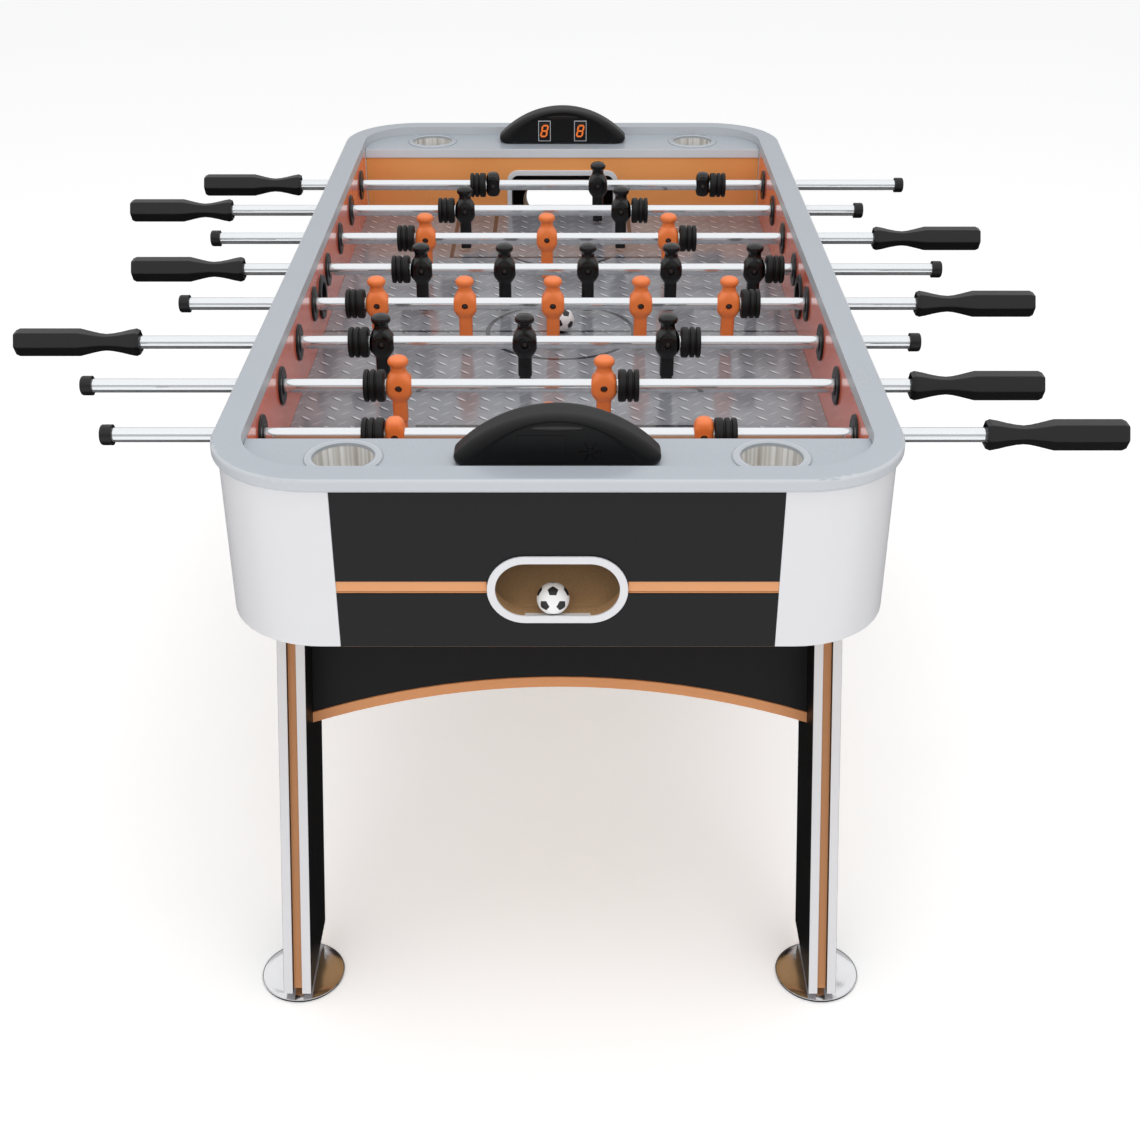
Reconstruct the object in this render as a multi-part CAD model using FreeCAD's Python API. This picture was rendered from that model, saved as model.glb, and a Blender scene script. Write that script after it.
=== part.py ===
import FreeCAD, Part
import math
import os
from FreeCAD import Vector

# A foosball table on four leaning legs, in millimetres.
# While modelling, x runs across the table, y along it, and x = y = 0 is the table's middle.
# Everything is moved at the end so that the origin is under the middle of the bounding box.

# Heights
table_height = 800.0
rail_thickness = 16.0
deck_step = 13.6  # end deck below the rail's top
deck_thickness = 16.0
rod_drop = 51.6  # rod axis below the rail's top
field_drop = 69.5  # playing surface below the rod axis
field_thickness = 9.0
cabinet_height = 192.9  # cabinet walls, from under the rail down
base_thickness = 6.0

# Plan of the table
field_width = 694.0
rod_spacing = 144.4
goal_line_gap = 89.8  # from the last rod to the edge of the end deck
rail_width = 34.0
rail_overhang = 7.0  # rail past the outside of the walls
rail_inner_corner = 86.0
rail_edge_round = 5.0
cover_wrap = 134.5  # corner cover along each face, from the square corner
fit_gap = 0.2  # between fixed pieces that fit inside each other

# Stripe along the walls
stripe_height = 15.0
stripe_band = 13.0
stripe_lip = 1.2
stripe_groove_depth = 4.0
stripe_thickness = 2.5
stripe_centre_drop = 117.5  # below the walls' top

# Goals and ball returns
goal_wall_setback = 2.0
goal_wall_thickness = 10.0
goal_width = 181.0
goal_height = 59.5
goal_corner = 12.0
goal_frame_width = 8.0
goal_frame_top = 9.5
goal_frame_proud = 2.0
chute_wall = 12.0
tray_thickness = 3.0
tray_fall = 22.0
return_width = 135.0
return_height = 65.0
return_drop = 119.3  # middle of the ball return below the walls' top
return_frame_width = 9.0
return_frame_thickness = 3.0
return_hole_margin = 5.0  # hole in the wall past the frame's opening

# Ball
ball_radius = 18.0
rest_gap = 0.3  # between a loose piece and what it rests on
game_ball_offset = 1.5
return_ball_offset = -5.0
return_ball_setback = 13.0  # ball's middle behind the wall's face

# Cup holders
cup_inset = 115.0  # in from the side wall
cup_goal_gap = 2.05  # between a cup and the goal wall's back
cup_rail_gap = 4.0  # between a cup's rim and the rail
cup_hole_radius = 33.75
cup_wall = 1.5
cup_depth = 57.0
cup_floor = 2.0
cup_rim_width = 9.75
cup_rim_thickness = 2.5

# Score units on the end decks
score_width = 230.0
score_height = 60.0
score_depth = 45.0
score_setback = 30.8  # behind the deck's inner edge
score_rim = 8.0
score_base = 4.0  # strip left under the recessed faces
score_recess = 2.0
display_width = 22.0
display_height = 36.0
display_thickness = 1.6
display_offset = 31.7
display_lift = 5.2

# Rods and what is on them
rod_radius = 8.75
rod_wall = 2.0
rod_reach = 132.5  # bare rod past the outer bearing, each side, when centred
running_gap = 0.05
bearing_sleeve_wall = 6.25  # this and the sizes below that follow the rod are added to its radius
bearing_flange_width = 15.75
bearing_inner_flange = 4.5
bearing_outer_flange = 4.0
grip_bore = 120.0
cap_length = 14.7
cap_wall = 3.5
cap_bore = 10.0
cap_round = 3.0
bumper_height = 11.75
bumper_groove_height = 8.25
bumper_ring = 10.2
bumper_rib = 6.4
bumper_groove = 1.6
bumper_gap = 0.8  # between a bumper and the player beside it

# Serve rings in the side walls
serve_radius = 21.0
serve_sleeve_radius = 25.0
serve_flange_radius = 32.0
serve_flange = 4.0
serve_drop = 68.0  # below the rail's top

# Legs, feet and aprons
leg_board = 12.0
leg_inset = 11.0  # outer board in from the wall's face
leg_depth = 140.0
leg_setback = 306.4  # leg's outer edge at the walls' bottom, in from the end wall's face
leg_slope = 0.438  # outward lean for each unit of height
leg_core_recess = 11.0
foot_height = 14.0
foot_clearance = 0.3
foot_radius = 55.0
foot_pad = 4.5
foot_inset = 52.0  # foot's middle in from the leg's outer edge at its bottom
nut_radius = 9.5
stud_radius = 4.0
stud_length = 30.0
foot_travel = 10.0
apron_setback = 58.0
apron_thickness = 18.0
apron_height = 231.5  # from the walls' bottom to the top of its arch
apron_arch_rise = 44.0
apron_trim_width = 12.0
apron_trim_proud = 1.5

# Rows from the back of the table to the front:
# name, team, players, spacing, outer players are torsos, side of the grip, rest offset
rows = [
    ("black_goal", "black", 3, 180.3, True, -1, 61.4),
    ("black_defence", "black", 2, 255.8, False, -1, -30.8),
    ("orange_attack", "orange", 3, 189.5, False, 1, -22.6),
    ("black_midfield", "black", 5, 123.4, False, -1, 40.0),
    ("orange_midfield", "orange", 5, 123.4, False, 1, -10.5),
    ("black_attack", "black", 3, 189.5, False, -1, -46.6),
    ("orange_defence", "orange", 2, 255.8, False, 1, -72.0),
    ("orange_goal", "orange", 3, 180.3, True, 1, -10.6),
]
facing = {"black": -1, "orange": 1}  # the way each team plays along y

# Player outlines as (height from the rod axis, half size)
player_front = [(40.0, 7.0), (38.0, 10.5), (33.5, 13.0), (30.5, 12.6), (27.0, 9.8), (20.5, 9.8),
                (14.0, 13.6), (5.0, 16.5), (-3.0, 16.75), (-9.5, 15.6), (-20.0, 9.35),
                (-45.0, 9.35), (-50.0, 7.8), (-62.5, 8.4)]
player_side = [(40.0, 6.5), (38.0, 10.0), (33.5, 12.0), (30.5, 11.5), (27.0, 9.3), (20.5, 9.3),
               (12.0, 12.6), (-6.0, 13.0), (-20.0, 9.0), (-45.0, 8.0), (-50.0, 7.0), (-62.5, 7.0)]
# The outer players of a goal row are torsos alone
torso_outline = [(22.5, 4.0), (21.0, 8.0), (16.5, 11.0), (10.0, 11.75), (-9.0, 11.75),
                 (-14.5, 10.8), (-17.8, 8.0), (-19.0, 4.0)]
# Grip as (distance from its inner end, corner of its hexagon past the rod's surface)
grip_sections = [(0.0, 8.0), (5.0, 10.05), (14.0, 8.35), (25.0, 5.65), (36.0, 3.55), (45.0, 2.75),
                 (53.0, 3.55), (62.0, 5.55), (80.0, 10.05), (160.0, 10.05), (165.0, 7.75)]

# Places that follow from the sizes above
rail_bottom = table_height - rail_thickness
deck_top = table_height - deck_step
deck_bottom = deck_top - deck_thickness
rod_height = table_height - rod_drop
field_top = rod_height - field_drop
cabinet_bottom = rail_bottom - cabinet_height
half_field = field_width / 2
cup_outer_radius = cup_hole_radius + cup_wall
cup_rim_radius = cup_hole_radius + cup_rim_width
deck_depth = (goal_wall_setback + goal_wall_thickness + cup_goal_gap + cup_outer_radius
              + cup_rim_radius + cup_rail_gap)
field_end = rod_spacing * (len(rows) - 1) / 2 + goal_line_gap
inner_end = field_end + deck_depth
rail_half_width = half_field + rail_width
rail_half_length = inner_end + rail_width
wall_thickness = rail_width - rail_overhang
side_face = half_field + wall_thickness
end_face = inner_end + wall_thickness
wall_corner = rail_inner_corner + wall_thickness
rail_outer_corner = rail_inner_corner + rail_width
goal_wall_front = field_end + goal_wall_setback
goal_wall_back = goal_wall_front + goal_wall_thickness
goal_frame_front = goal_wall_front - goal_frame_proud
goal_frame_back = goal_wall_back + goal_frame_proud
chute_face = goal_width / 2 + fit_gap
return_height_centre = rail_bottom - return_drop
return_hole_bottom = return_height_centre - return_height / 2 - return_hole_margin
stripe_top = rail_bottom - stripe_centre_drop + stripe_height / 2
bearing_sleeve_radius = rod_radius + bearing_sleeve_wall
bearing_flange_radius = rod_radius + bearing_flange_width
cap_radius = rod_radius + cap_wall
bumper_radius = rod_radius + bumper_height
bumper_groove_radius = rod_radius + bumper_groove_height
outer_bearing_face = side_face + bearing_outer_flange
inner_bearing_face = half_field - bearing_inner_flange
half_bare_rod = outer_bearing_face + rod_reach
bumper_length = bumper_ring + 2 * (bumper_groove + bumper_rib)
cup_middle = inner_end - cup_rail_gap - cup_rim_radius
cup_offset = half_field - cup_inset
serve_height = table_height - serve_drop
leg_top_edge = end_face - leg_setback
leg_bottom_edge = leg_top_edge + leg_slope * (cabinet_bottom - foot_height)
foot_middle = leg_bottom_edge - foot_inset
leg_inner_face = side_face - leg_inset - 3 * leg_board
leg_middle = leg_inner_face + 1.5 * leg_board
apron_arch_centre = cabinet_bottom - apron_height


def rod_y(index):
    return rod_spacing * ((len(rows) - 1) / 2 - index)


def player_offsets(count, spacing):
    return [spacing * (number - (count - 1) / 2) for number in range(count)]


def outer_half_width(torsos):
    outline = torso_outline if torsos else player_front
    return max(half for height, half in outline)


def bumper_start(count, spacing, torsos):
    return spacing * (count - 1) / 2 + outer_half_width(torsos) + bumper_gap


def slide_limit(count, spacing, torsos):
    """Travel to each side of the middle: to the inner bearing or the outer one."""
    bumper_end = bumper_start(count, spacing, torsos) + bumper_length
    return min(inner_bearing_face - bumper_end, rod_reach) - 2 * rest_gap


def rod_ends(grip_side, offset):
    left = grip_sections[-1][0] if grip_side < 0 else cap_length
    right = grip_sections[-1][0] if grip_side > 0 else cap_length
    return offset - half_bare_rod - left, offset + half_bare_rod + right


def block(x_range, y_range, z_range):
    size = [high - low for low, high in (x_range, y_range, z_range)]
    return Part.makeBox(*size, Vector(x_range[0], y_range[0], z_range[0]))


def rounded_outline(half_width, half_length, radius):
    """Face in the xy plane with round corners; a side may shrink to nothing."""
    edges = []
    inner_x = half_width - radius
    inner_y = half_length - radius
    corners = [(inner_x, inner_y, 0), (-inner_x, inner_y, 90), (-inner_x, -inner_y, 180),
               (inner_x, -inner_y, 270)]
    ends = []
    for x, y, turn in corners:
        points = [Vector(x + radius * math.cos(math.radians(turn + step)),
                         y + radius * math.sin(math.radians(turn + step)), 0)
                  for step in (0, 45, 90)]
        edges.append(Part.Arc(*points).toShape())
        ends.append((points[0], points[2]))
    for number in range(4):
        start = ends[number][1]
        end = ends[(number + 1) % 4][0]
        if start.distanceToPoint(end) > 0.01:
            edges.append(Part.makeLine(start, end))
    return Part.Face(Part.Wire(Part.__sortEdges__(edges)))


def rounded_slab(half_width, half_length, radius, low, high):
    outline = rounded_outline(half_width, half_length, radius)
    outline.translate(Vector(0, 0, low))
    return outline.extrude(Vector(0, 0, high - low))


def stadium(half_width, half_height, y_range, height):
    """Rounded bar along y, centred on x = 0 at the given height."""
    solid = rounded_slab(half_width, half_height, half_height, y_range[0], y_range[1])
    solid.rotate(Vector(0, 0, 0), Vector(1, 0, 0), -90)
    solid.translate(Vector(0, 0, height))
    return solid


def prism_y(points, y_low, y_high):
    """Extrude (x, z) points along y."""
    outline = [Vector(x, y_low, z) for x, z in points + points[:1]]
    return Part.Face(Part.makePolygon(outline)).extrude(Vector(0, y_high - y_low, 0))


def prism_x(points, x_low, x_high):
    """Extrude (y, z) points along x."""
    outline = [Vector(x_low, y, z) for y, z in points + points[:1]]
    return Part.Face(Part.makePolygon(outline)).extrude(Vector(x_high - x_low, 0, 0))


def tube_x(radius, x_low, x_high, y, z):
    return Part.makeCylinder(radius, x_high - x_low, Vector(x_low, y, z), Vector(1, 0, 0))


def mirrored(shape, normal):
    return shape.mirror(Vector(0, 0, 0), normal)


def at_both_ends(shape):
    return [shape, mirrored(shape, Vector(0, 1, 0))]


def at_both_sides(shape):
    return [shape, mirrored(shape, Vector(1, 0, 0))]


def at_four_corners(shape):
    return [copy for half in at_both_sides(shape) for copy in at_both_ends(half)]


def on_rod(solid, index, offset):
    moved = solid.copy()
    moved.translate(Vector(offset, rod_y(index), rod_height))
    return moved


def top_rail():
    rail = rounded_slab(rail_half_width, rail_half_length, rail_outer_corner, rail_bottom,
                        table_height)
    level_edges = [edge for edge in rail.Edges if edge.BoundBox.ZLength < 0.01]
    rail = rail.makeFillet(rail_edge_round, level_edges)
    return [rail.cut(rounded_slab(half_field, inner_end, rail_inner_corner, rail_bottom,
                                  table_height))]


def end_decks():
    deck = rounded_slab(half_field - fit_gap, inner_end - fit_gap, rail_inner_corner - fit_gap,
                        deck_bottom, deck_top)
    deck = deck.common(block((-half_field, half_field), (field_end, inner_end),
                             (deck_bottom, deck_top)))
    for side in (-1, 1):
        deck = deck.cut(Part.makeCylinder(cup_outer_radius, deck_thickness,
                                          Vector(side * cup_offset, cup_middle, deck_bottom)))
    return at_both_ends(deck)


def wall_ring():
    ring = rounded_slab(side_face, end_face, wall_corner, cabinet_bottom, rail_bottom)
    return ring.cut(rounded_slab(half_field, inner_end, rail_inner_corner, cabinet_bottom,
                                 rail_bottom))


def side_panels():
    cover_start = end_face - cover_wrap
    panel = block((half_field, side_face), (-cover_start, cover_start),
                  (cabinet_bottom, rail_bottom))
    for index in range(len(rows)):
        panel = panel.cut(tube_x(bearing_sleeve_radius, half_field, side_face, rod_y(index),
                                 rod_height))
    panel = panel.cut(tube_x(serve_sleeve_radius, half_field, side_face, 0, serve_height))
    groove = block((side_face - stripe_groove_depth, side_face), (-cover_start, cover_start),
                   (stripe_top - stripe_height, stripe_top))
    return at_both_sides(panel.cut(groove))


def end_panels():
    cover_start = side_face - cover_wrap
    panel = block((-cover_start, cover_start), (inner_end, end_face),
                  (cabinet_bottom, rail_bottom))
    groove = block((-cover_start, cover_start), (end_face - stripe_groove_depth, end_face),
                   (stripe_top - stripe_height, stripe_top))
    hole = stadium(return_width / 2 + return_hole_margin, return_height / 2 + return_hole_margin,
                   (inner_end, end_face), return_height_centre)
    return at_both_ends(panel.cut(groove).cut(hole))


def corner_covers():
    ring = wall_ring()
    low = cabinet_bottom - 1
    high = rail_bottom + 1
    x_start = side_face - cover_wrap
    y_start = end_face - cover_wrap
    cover = ring.common(block((x_start, side_face + 1), (y_start, end_face + 1), (low, high)))
    return at_four_corners(cover)


def stripe_inlays():
    pieces = []
    low = stripe_top - stripe_height
    bands = [(stripe_top - stripe_band, stripe_top), (low, low + stripe_lip)]
    floor_depth = stripe_groove_depth
    frame_edge = return_width / 2 + return_frame_width
    end_start = side_face - cover_wrap
    side_start = end_face - cover_wrap
    for band in bands:
        end_piece = block((frame_edge, end_start),
                          (end_face - floor_depth, end_face - floor_depth + stripe_thickness),
                          band)
        side_piece = block((side_face - floor_depth, side_face - floor_depth + stripe_thickness),
                           (-side_start, side_start), band)
        pieces += at_four_corners(end_piece) + at_both_sides(side_piece)
    return pieces


def playfield():
    half = half_field - fit_gap
    return [block((-half, half), (-goal_wall_back, goal_wall_back),
                  (field_top - field_thickness, field_top))]


def arch_block(half_width, height, corner, y_range):
    """Upright block on the playing surface with its two top corners round."""
    low = field_top
    top = low + height
    inner = half_width - corner
    lean = corner * math.sqrt(0.5)
    points = [Vector(-half_width, 0, low), Vector(-half_width, 0, top - corner),
              Vector(-inner - lean, 0, top - corner + lean), Vector(-inner, 0, top),
              Vector(inner, 0, top), Vector(inner + lean, 0, top - corner + lean),
              Vector(half_width, 0, top - corner), Vector(half_width, 0, low)]
    edges = [Part.makeLine(points[0], points[1]), Part.Arc(*points[1:4]).toShape(),
             Part.makeLine(points[3], points[4]), Part.Arc(*points[4:7]).toShape(),
             Part.makeLine(points[6], points[7]), Part.makeLine(points[7], points[0])]
    face = Part.Face(Part.Wire(edges))
    face.translate(Vector(0, y_range[0], 0))
    return face.extrude(Vector(0, y_range[1] - y_range[0], 0))


def goal_frame_block(y_range):
    return arch_block(goal_width / 2 + goal_frame_width, goal_height + goal_frame_top,
                      goal_corner + goal_frame_width, y_range)


def goal_walls():
    y_range = (goal_wall_front, goal_wall_back)
    half = half_field - fit_gap
    wall = block((-half, half), y_range, (field_top, deck_bottom))
    return at_both_ends(wall.cut(goal_frame_block(y_range)))


def goal_frames():
    y_range = (goal_frame_front, goal_frame_back)
    frame = goal_frame_block(y_range)
    return at_both_ends(frame.cut(arch_block(goal_width / 2, goal_height, goal_corner, y_range)))


def return_boxes():
    wall = block((chute_face, chute_face + chute_wall), (goal_frame_back, inner_end),
                 (cabinet_bottom + base_thickness, deck_bottom))
    return at_four_corners(wall)


def ball_trays():
    high = return_hole_bottom + tray_fall
    points = [(goal_frame_back, high), (inner_end, return_hole_bottom),
              (inner_end, return_hole_bottom - tray_thickness),
              (goal_frame_back, high - tray_thickness)]
    half = chute_face - fit_gap
    return at_both_ends(prism_x(points, -half, half))


def return_frames():
    y_range = (end_face, end_face + return_frame_thickness)
    half_width = return_width / 2
    half_height = return_height / 2
    frame = stadium(half_width + return_frame_width, half_height + return_frame_width, y_range,
                    return_height_centre)
    return at_both_ends(frame.cut(stadium(half_width, half_height, y_range,
                                          return_height_centre)))


def base_board():
    return [rounded_slab(half_field, inner_end, rail_inner_corner, cabinet_bottom,
                         cabinet_bottom + base_thickness)]


def cup_holders():
    rim_top = deck_top + cup_rim_thickness
    floor_top = rim_top - cup_depth
    profile = [(0, floor_top), (cup_hole_radius, floor_top), (cup_hole_radius, rim_top),
               (cup_rim_radius - 1, rim_top), (cup_rim_radius, rim_top - 1),
               (cup_rim_radius, deck_top), (cup_outer_radius, deck_top),
               (cup_outer_radius, floor_top - cup_floor), (0, floor_top - cup_floor)]
    cup = turned_z(profile)
    cup.translate(Vector(cup_offset, cup_middle, 0))
    return at_four_corners(cup)


def turned_z(profile):
    """Turn (radius, height) points about a vertical axis."""
    outline = [Vector(radius, 0, height) for radius, height in profile + profile[:1]]
    face = Part.Face(Part.makePolygon(outline))
    return face.revolve(Vector(0, 0, 0), Vector(0, 0, 1), 360)


def turned_x(profile):
    """Turn (distance along x, radius) points about the x axis."""
    outline = [Vector(x, 0, radius) for x, radius in profile + profile[:1]]
    face = Part.Face(Part.makePolygon(outline))
    return face.revolve(Vector(0, 0, 0), Vector(1, 0, 0), 360)


def dome_block(margin, base, y_range):
    """Part of a disc above the deck: its arc moved in by the margin, its flat side up by the base."""
    half = score_width / 2
    radius = (half ** 2 + score_height ** 2) / (2 * score_height)
    centre = deck_top + score_height - radius
    low = deck_top + base
    reach = math.sqrt((radius - margin) ** 2 - (low - centre) ** 2)
    top = centre + radius - margin
    arc = Part.Arc(Vector(-reach, 0, low), Vector(0, 0, top), Vector(reach, 0, low)).toShape()
    line = Part.makeLine(Vector(reach, 0, low), Vector(-reach, 0, low))
    face = Part.Face(Part.Wire([arc, line]))
    face.translate(Vector(0, y_range[0], 0))
    return face.extrude(Vector(0, y_range[1] - y_range[0], 0))


def score_housings():
    front = field_end + score_setback
    back = front + score_depth
    housing = dome_block(0, 0, (front, back))
    housing = housing.cut(dome_block(score_rim, score_base, (front, front + score_recess)))
    housing = housing.cut(dome_block(score_rim, score_base, (back - score_recess, back)))
    return at_both_ends(housing)


def score_displays():
    face = field_end + score_setback + score_recess
    low = deck_top + display_lift
    display = block((display_offset - display_width / 2, display_offset + display_width / 2),
                    (face - display_thickness, face), (low, low + display_height))
    return at_four_corners(display)


def rod_bearings():
    pieces = []
    for index in range(len(rows)):
        y = rod_y(index)
        bearing = tube_x(bearing_flange_radius, inner_bearing_face, half_field, y, rod_height)
        bearing = bearing.fuse(tube_x(bearing_sleeve_radius, half_field, side_face, y,
                                      rod_height))
        bearing = bearing.fuse(tube_x(bearing_flange_radius, side_face, outer_bearing_face, y,
                                      rod_height))
        bearing = bearing.cut(tube_x(rod_radius + running_gap, inner_bearing_face,
                                     outer_bearing_face, y, rod_height))
        pieces += at_both_sides(bearing)
    return pieces


def serve_rings():
    ring = tube_x(serve_flange_radius, half_field - serve_flange, half_field, 0, serve_height)
    ring = ring.fuse(tube_x(serve_sleeve_radius, half_field, side_face, 0, serve_height))
    ring = ring.fuse(tube_x(serve_flange_radius, side_face, side_face + serve_flange, 0,
                            serve_height))
    ring = ring.cut(tube_x(serve_radius, half_field - serve_flange, side_face + serve_flange, 0,
                           serve_height))
    return at_both_sides(ring)


def leg_edge(height):
    """Outer edge of a leg at a height, measured from the table's middle."""
    return leg_top_edge + leg_slope * (cabinet_bottom - height)


def leaning_profile(outer, inner, low, high):
    """(y, z) outline parallel to the legs, between two distances behind their outer edge."""
    return [(leg_edge(low) - outer, low), (leg_edge(low) - inner, low),
            (leg_edge(high) - inner, high), (leg_edge(high) - outer, high)]


def leg_boards():
    profile = leaning_profile(0, leg_depth, foot_height, cabinet_bottom)
    pieces = []
    for x in (leg_inner_face, leg_inner_face + 2 * leg_board):
        pieces += at_four_corners(prism_x(profile, x, x + leg_board))
    return pieces


def leg_cores():
    profile = leaning_profile(leg_core_recess, leg_depth - leg_core_recess, foot_height,
                              cabinet_bottom)
    core = prism_x(profile, leg_inner_face + leg_board, leg_inner_face + 2 * leg_board)
    hole = Part.makeCylinder(stud_radius + running_gap, stud_length + rest_gap,
                             Vector(leg_middle, foot_middle, foot_height))
    return at_four_corners(core.cut(hole))


def arch_cylinder(growth):
    """Cylinder along y whose top is the arch under an apron."""
    radius = (leg_inner_face ** 2 + apron_arch_rise ** 2) / (2 * apron_arch_rise)
    centre = apron_arch_centre - radius
    return Part.makeCylinder(radius + growth, rail_half_length, Vector(0, 0, centre),
                             Vector(0, 1, 0))


def aprons():
    low = apron_arch_centre - apron_arch_rise
    profile = leaning_profile(apron_setback, apron_setback + apron_thickness, low,
                              cabinet_bottom)
    board = prism_x(profile, -leg_inner_face, leg_inner_face)
    return at_both_ends(board.cut(arch_cylinder(apron_trim_width)))


def apron_trims():
    low = apron_arch_centre - apron_arch_rise
    profile = leaning_profile(apron_setback - apron_trim_proud,
                              apron_setback + apron_thickness + apron_trim_proud, low,
                              cabinet_bottom)
    board = prism_x(profile, -leg_inner_face, leg_inner_face)
    return at_both_ends(board.common(arch_cylinder(apron_trim_width)).cut(arch_cylinder(0)))


def foot(x_side, y_side):
    top = foot_height - foot_clearance
    profile = [(0, 0), (foot_radius - 2, 0), (foot_radius, 1.5), (foot_radius, foot_pad),
               (foot_radius - 1.5, foot_pad + 1.5), (nut_radius + 10, foot_pad + 4),
               (nut_radius, foot_pad + 4), (nut_radius, top), (stud_radius, top),
               (stud_radius, foot_height + stud_length), (0, foot_height + stud_length)]
    solid = turned_z(profile)
    solid.translate(Vector(x_side * leg_middle, y_side * foot_middle, 0))
    return [solid]


def ball(x, y, floor):
    return [Part.makeSphere(ball_radius, Vector(x, y, floor + rest_gap + ball_radius))]


def figure(front, side, bore_direction):
    """Figure hanging on the x axis: its front outline crossed with its side outline."""
    front_points = [(half, height) for height, half in front]
    front_points += [(-half, height) for height, half in reversed(front)]
    side_points = [(bore_direction * half, height) for height, half in side]
    side_points += [(-bore_direction * half, height) for height, half in reversed(side)]
    reach = 2 * max(half for height, half in front + side)
    body = prism_y(front_points, -reach, reach).common(prism_x(side_points, -reach, reach))
    return body.cut(tube_x(rod_radius, -reach, reach, 0, 0))


def players(index):
    name, team, count, spacing, torsos, grip_side, offset = rows[index]
    full = figure(player_front, player_side, facing[team])
    torso = figure(torso_outline, torso_outline, facing[team])
    pieces = []
    for place in player_offsets(count, spacing):
        outer = abs(place) > spacing * (count - 1) / 2 - 1
        solid = torso if torsos and outer else full
        pieces.append(on_rod(solid, index, offset + place))
    return pieces


def bumpers(index):
    name, team, count, spacing, torsos, grip_side, offset = rows[index]
    bore = rod_radius + running_gap
    profile = [(0, bore), (0, bumper_groove_radius), (1.5, bumper_radius),
               (bumper_ring - 1, bumper_radius), (bumper_ring, bumper_groove_radius)]
    start = bumper_ring
    for rib in range(2):
        start += bumper_groove
        profile += [(start, bumper_groove_radius), (start + 0.3 * bumper_rib, bumper_radius),
                    (start + 0.7 * bumper_rib, bumper_radius),
                    (start + bumper_rib, bumper_groove_radius)]
        start += bumper_rib
    profile.append((start, bore))
    bumper = turned_x(profile)
    bumper.translate(Vector(bumper_start(count, spacing, torsos), 0, 0))
    return [on_rod(solid, index, offset) for solid in at_both_sides(bumper)]


def rod(index):
    name, team, count, spacing, torsos, grip_side, offset = rows[index]
    grip_end = half_bare_rod + grip_bore
    cap_end = half_bare_rod + cap_bore
    low, high = (-grip_end, cap_end) if grip_side < 0 else (-cap_end, grip_end)
    solid = tube_x(rod_radius, low, high, 0, 0).cut(tube_x(rod_radius - rod_wall, low, high, 0,
                                                           0))
    return [on_rod(solid, index, offset)]


def grip():
    """Six-sided handle pointing along +x from the origin, bored for the rod."""
    wires = []
    for distance, growth in grip_sections:
        radius = rod_radius + growth
        corners = [Vector(distance, radius * math.cos(math.radians(60 * step)),
                          radius * math.sin(math.radians(60 * step)))
                   for step in range(7)]
        wires.append(Part.makePolygon(corners))
    solid = Part.makeLoft(wires, True, True)
    return solid.cut(tube_x(rod_radius, 0, grip_bore, 0, 0))


def end_cap():
    profile = [(0, 0), (0, cap_radius), (cap_length - cap_round, cap_radius),
               (cap_length, cap_radius - cap_round), (cap_length, 0)]
    return turned_x(profile).cut(tube_x(rod_radius, 0, cap_bore, 0, 0))


def grip_and_cap(index):
    name, team, count, spacing, torsos, grip_side, offset = rows[index]
    handle = grip()
    handle.translate(Vector(half_bare_rod, 0, 0))
    cap = mirrored(end_cap(), Vector(1, 0, 0))
    cap.translate(Vector(-half_bare_rod, 0, 0))
    if grip_side < 0:
        handle = mirrored(handle, Vector(1, 0, 0))
        cap = mirrored(cap, Vector(1, 0, 0))
    return [on_rod(handle, index, offset), on_rod(cap, index, offset)]


def nodes():
    """Every sub-part by name, as a list of solids in the modelling frame."""
    found = {
        "top_rail": top_rail(),
        "end_decks": end_decks(),
        "side_panels": side_panels(),
        "end_panels": end_panels(),
        "corner_covers": corner_covers(),
        "stripe_inlays": stripe_inlays(),
        "playfield": playfield(),
        "goal_walls": goal_walls(),
        "goal_frames": goal_frames(),
        "return_boxes": return_boxes(),
        "ball_trays": ball_trays(),
        "return_frames": return_frames(),
        "base_board": base_board(),
        "cup_holders": cup_holders(),
        "score_housings": score_housings(),
        "score_displays": score_displays(),
        "rod_bearings": rod_bearings(),
        "serve_rings": serve_rings(),
        "leg_boards": leg_boards(),
        "leg_cores": leg_cores(),
        "aprons": aprons(),
        "apron_trims": apron_trims(),
        "foot_front_left": foot(-1, -1),
        "foot_front_right": foot(1, -1),
        "foot_back_left": foot(-1, 1),
        "foot_back_right": foot(1, 1),
        "game_ball": ball(game_ball_offset, 0, field_top),
        "return_ball": ball(return_ball_offset, return_ball_setback - end_face,
                            return_hole_bottom),
    }
    for index, row in enumerate(rows):
        found["rod_" + row[0]] = rod(index)
        found["players_" + row[0]] = players(index)
        found["grip_and_cap_" + row[0]] = grip_and_cap(index)
        found["bumpers_" + row[0]] = bumpers(index)
    return found


def shift_to_origin():
    """Move that puts the middle of the bounding box over the origin."""
    ends = [rod_ends(row[5], row[6]) for row in rows]
    low = min(left for left, right in ends)
    high = max(right for left, right in ends)
    return Vector(-(low + high) / 2, 0, 0)


os.makedirs("parts", exist_ok=True)
for node_name, solids in nodes().items():
    shape = Part.makeCompound(solids)
    shape.translate(shift_to_origin())
    shape.exportStep("parts/" + node_name + ".step")
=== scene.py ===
from math import atan2, copysign, cos, pi, radians, sin, sqrt
import bmesh
import bpy
from mathutils import Matrix, Vector


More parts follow.
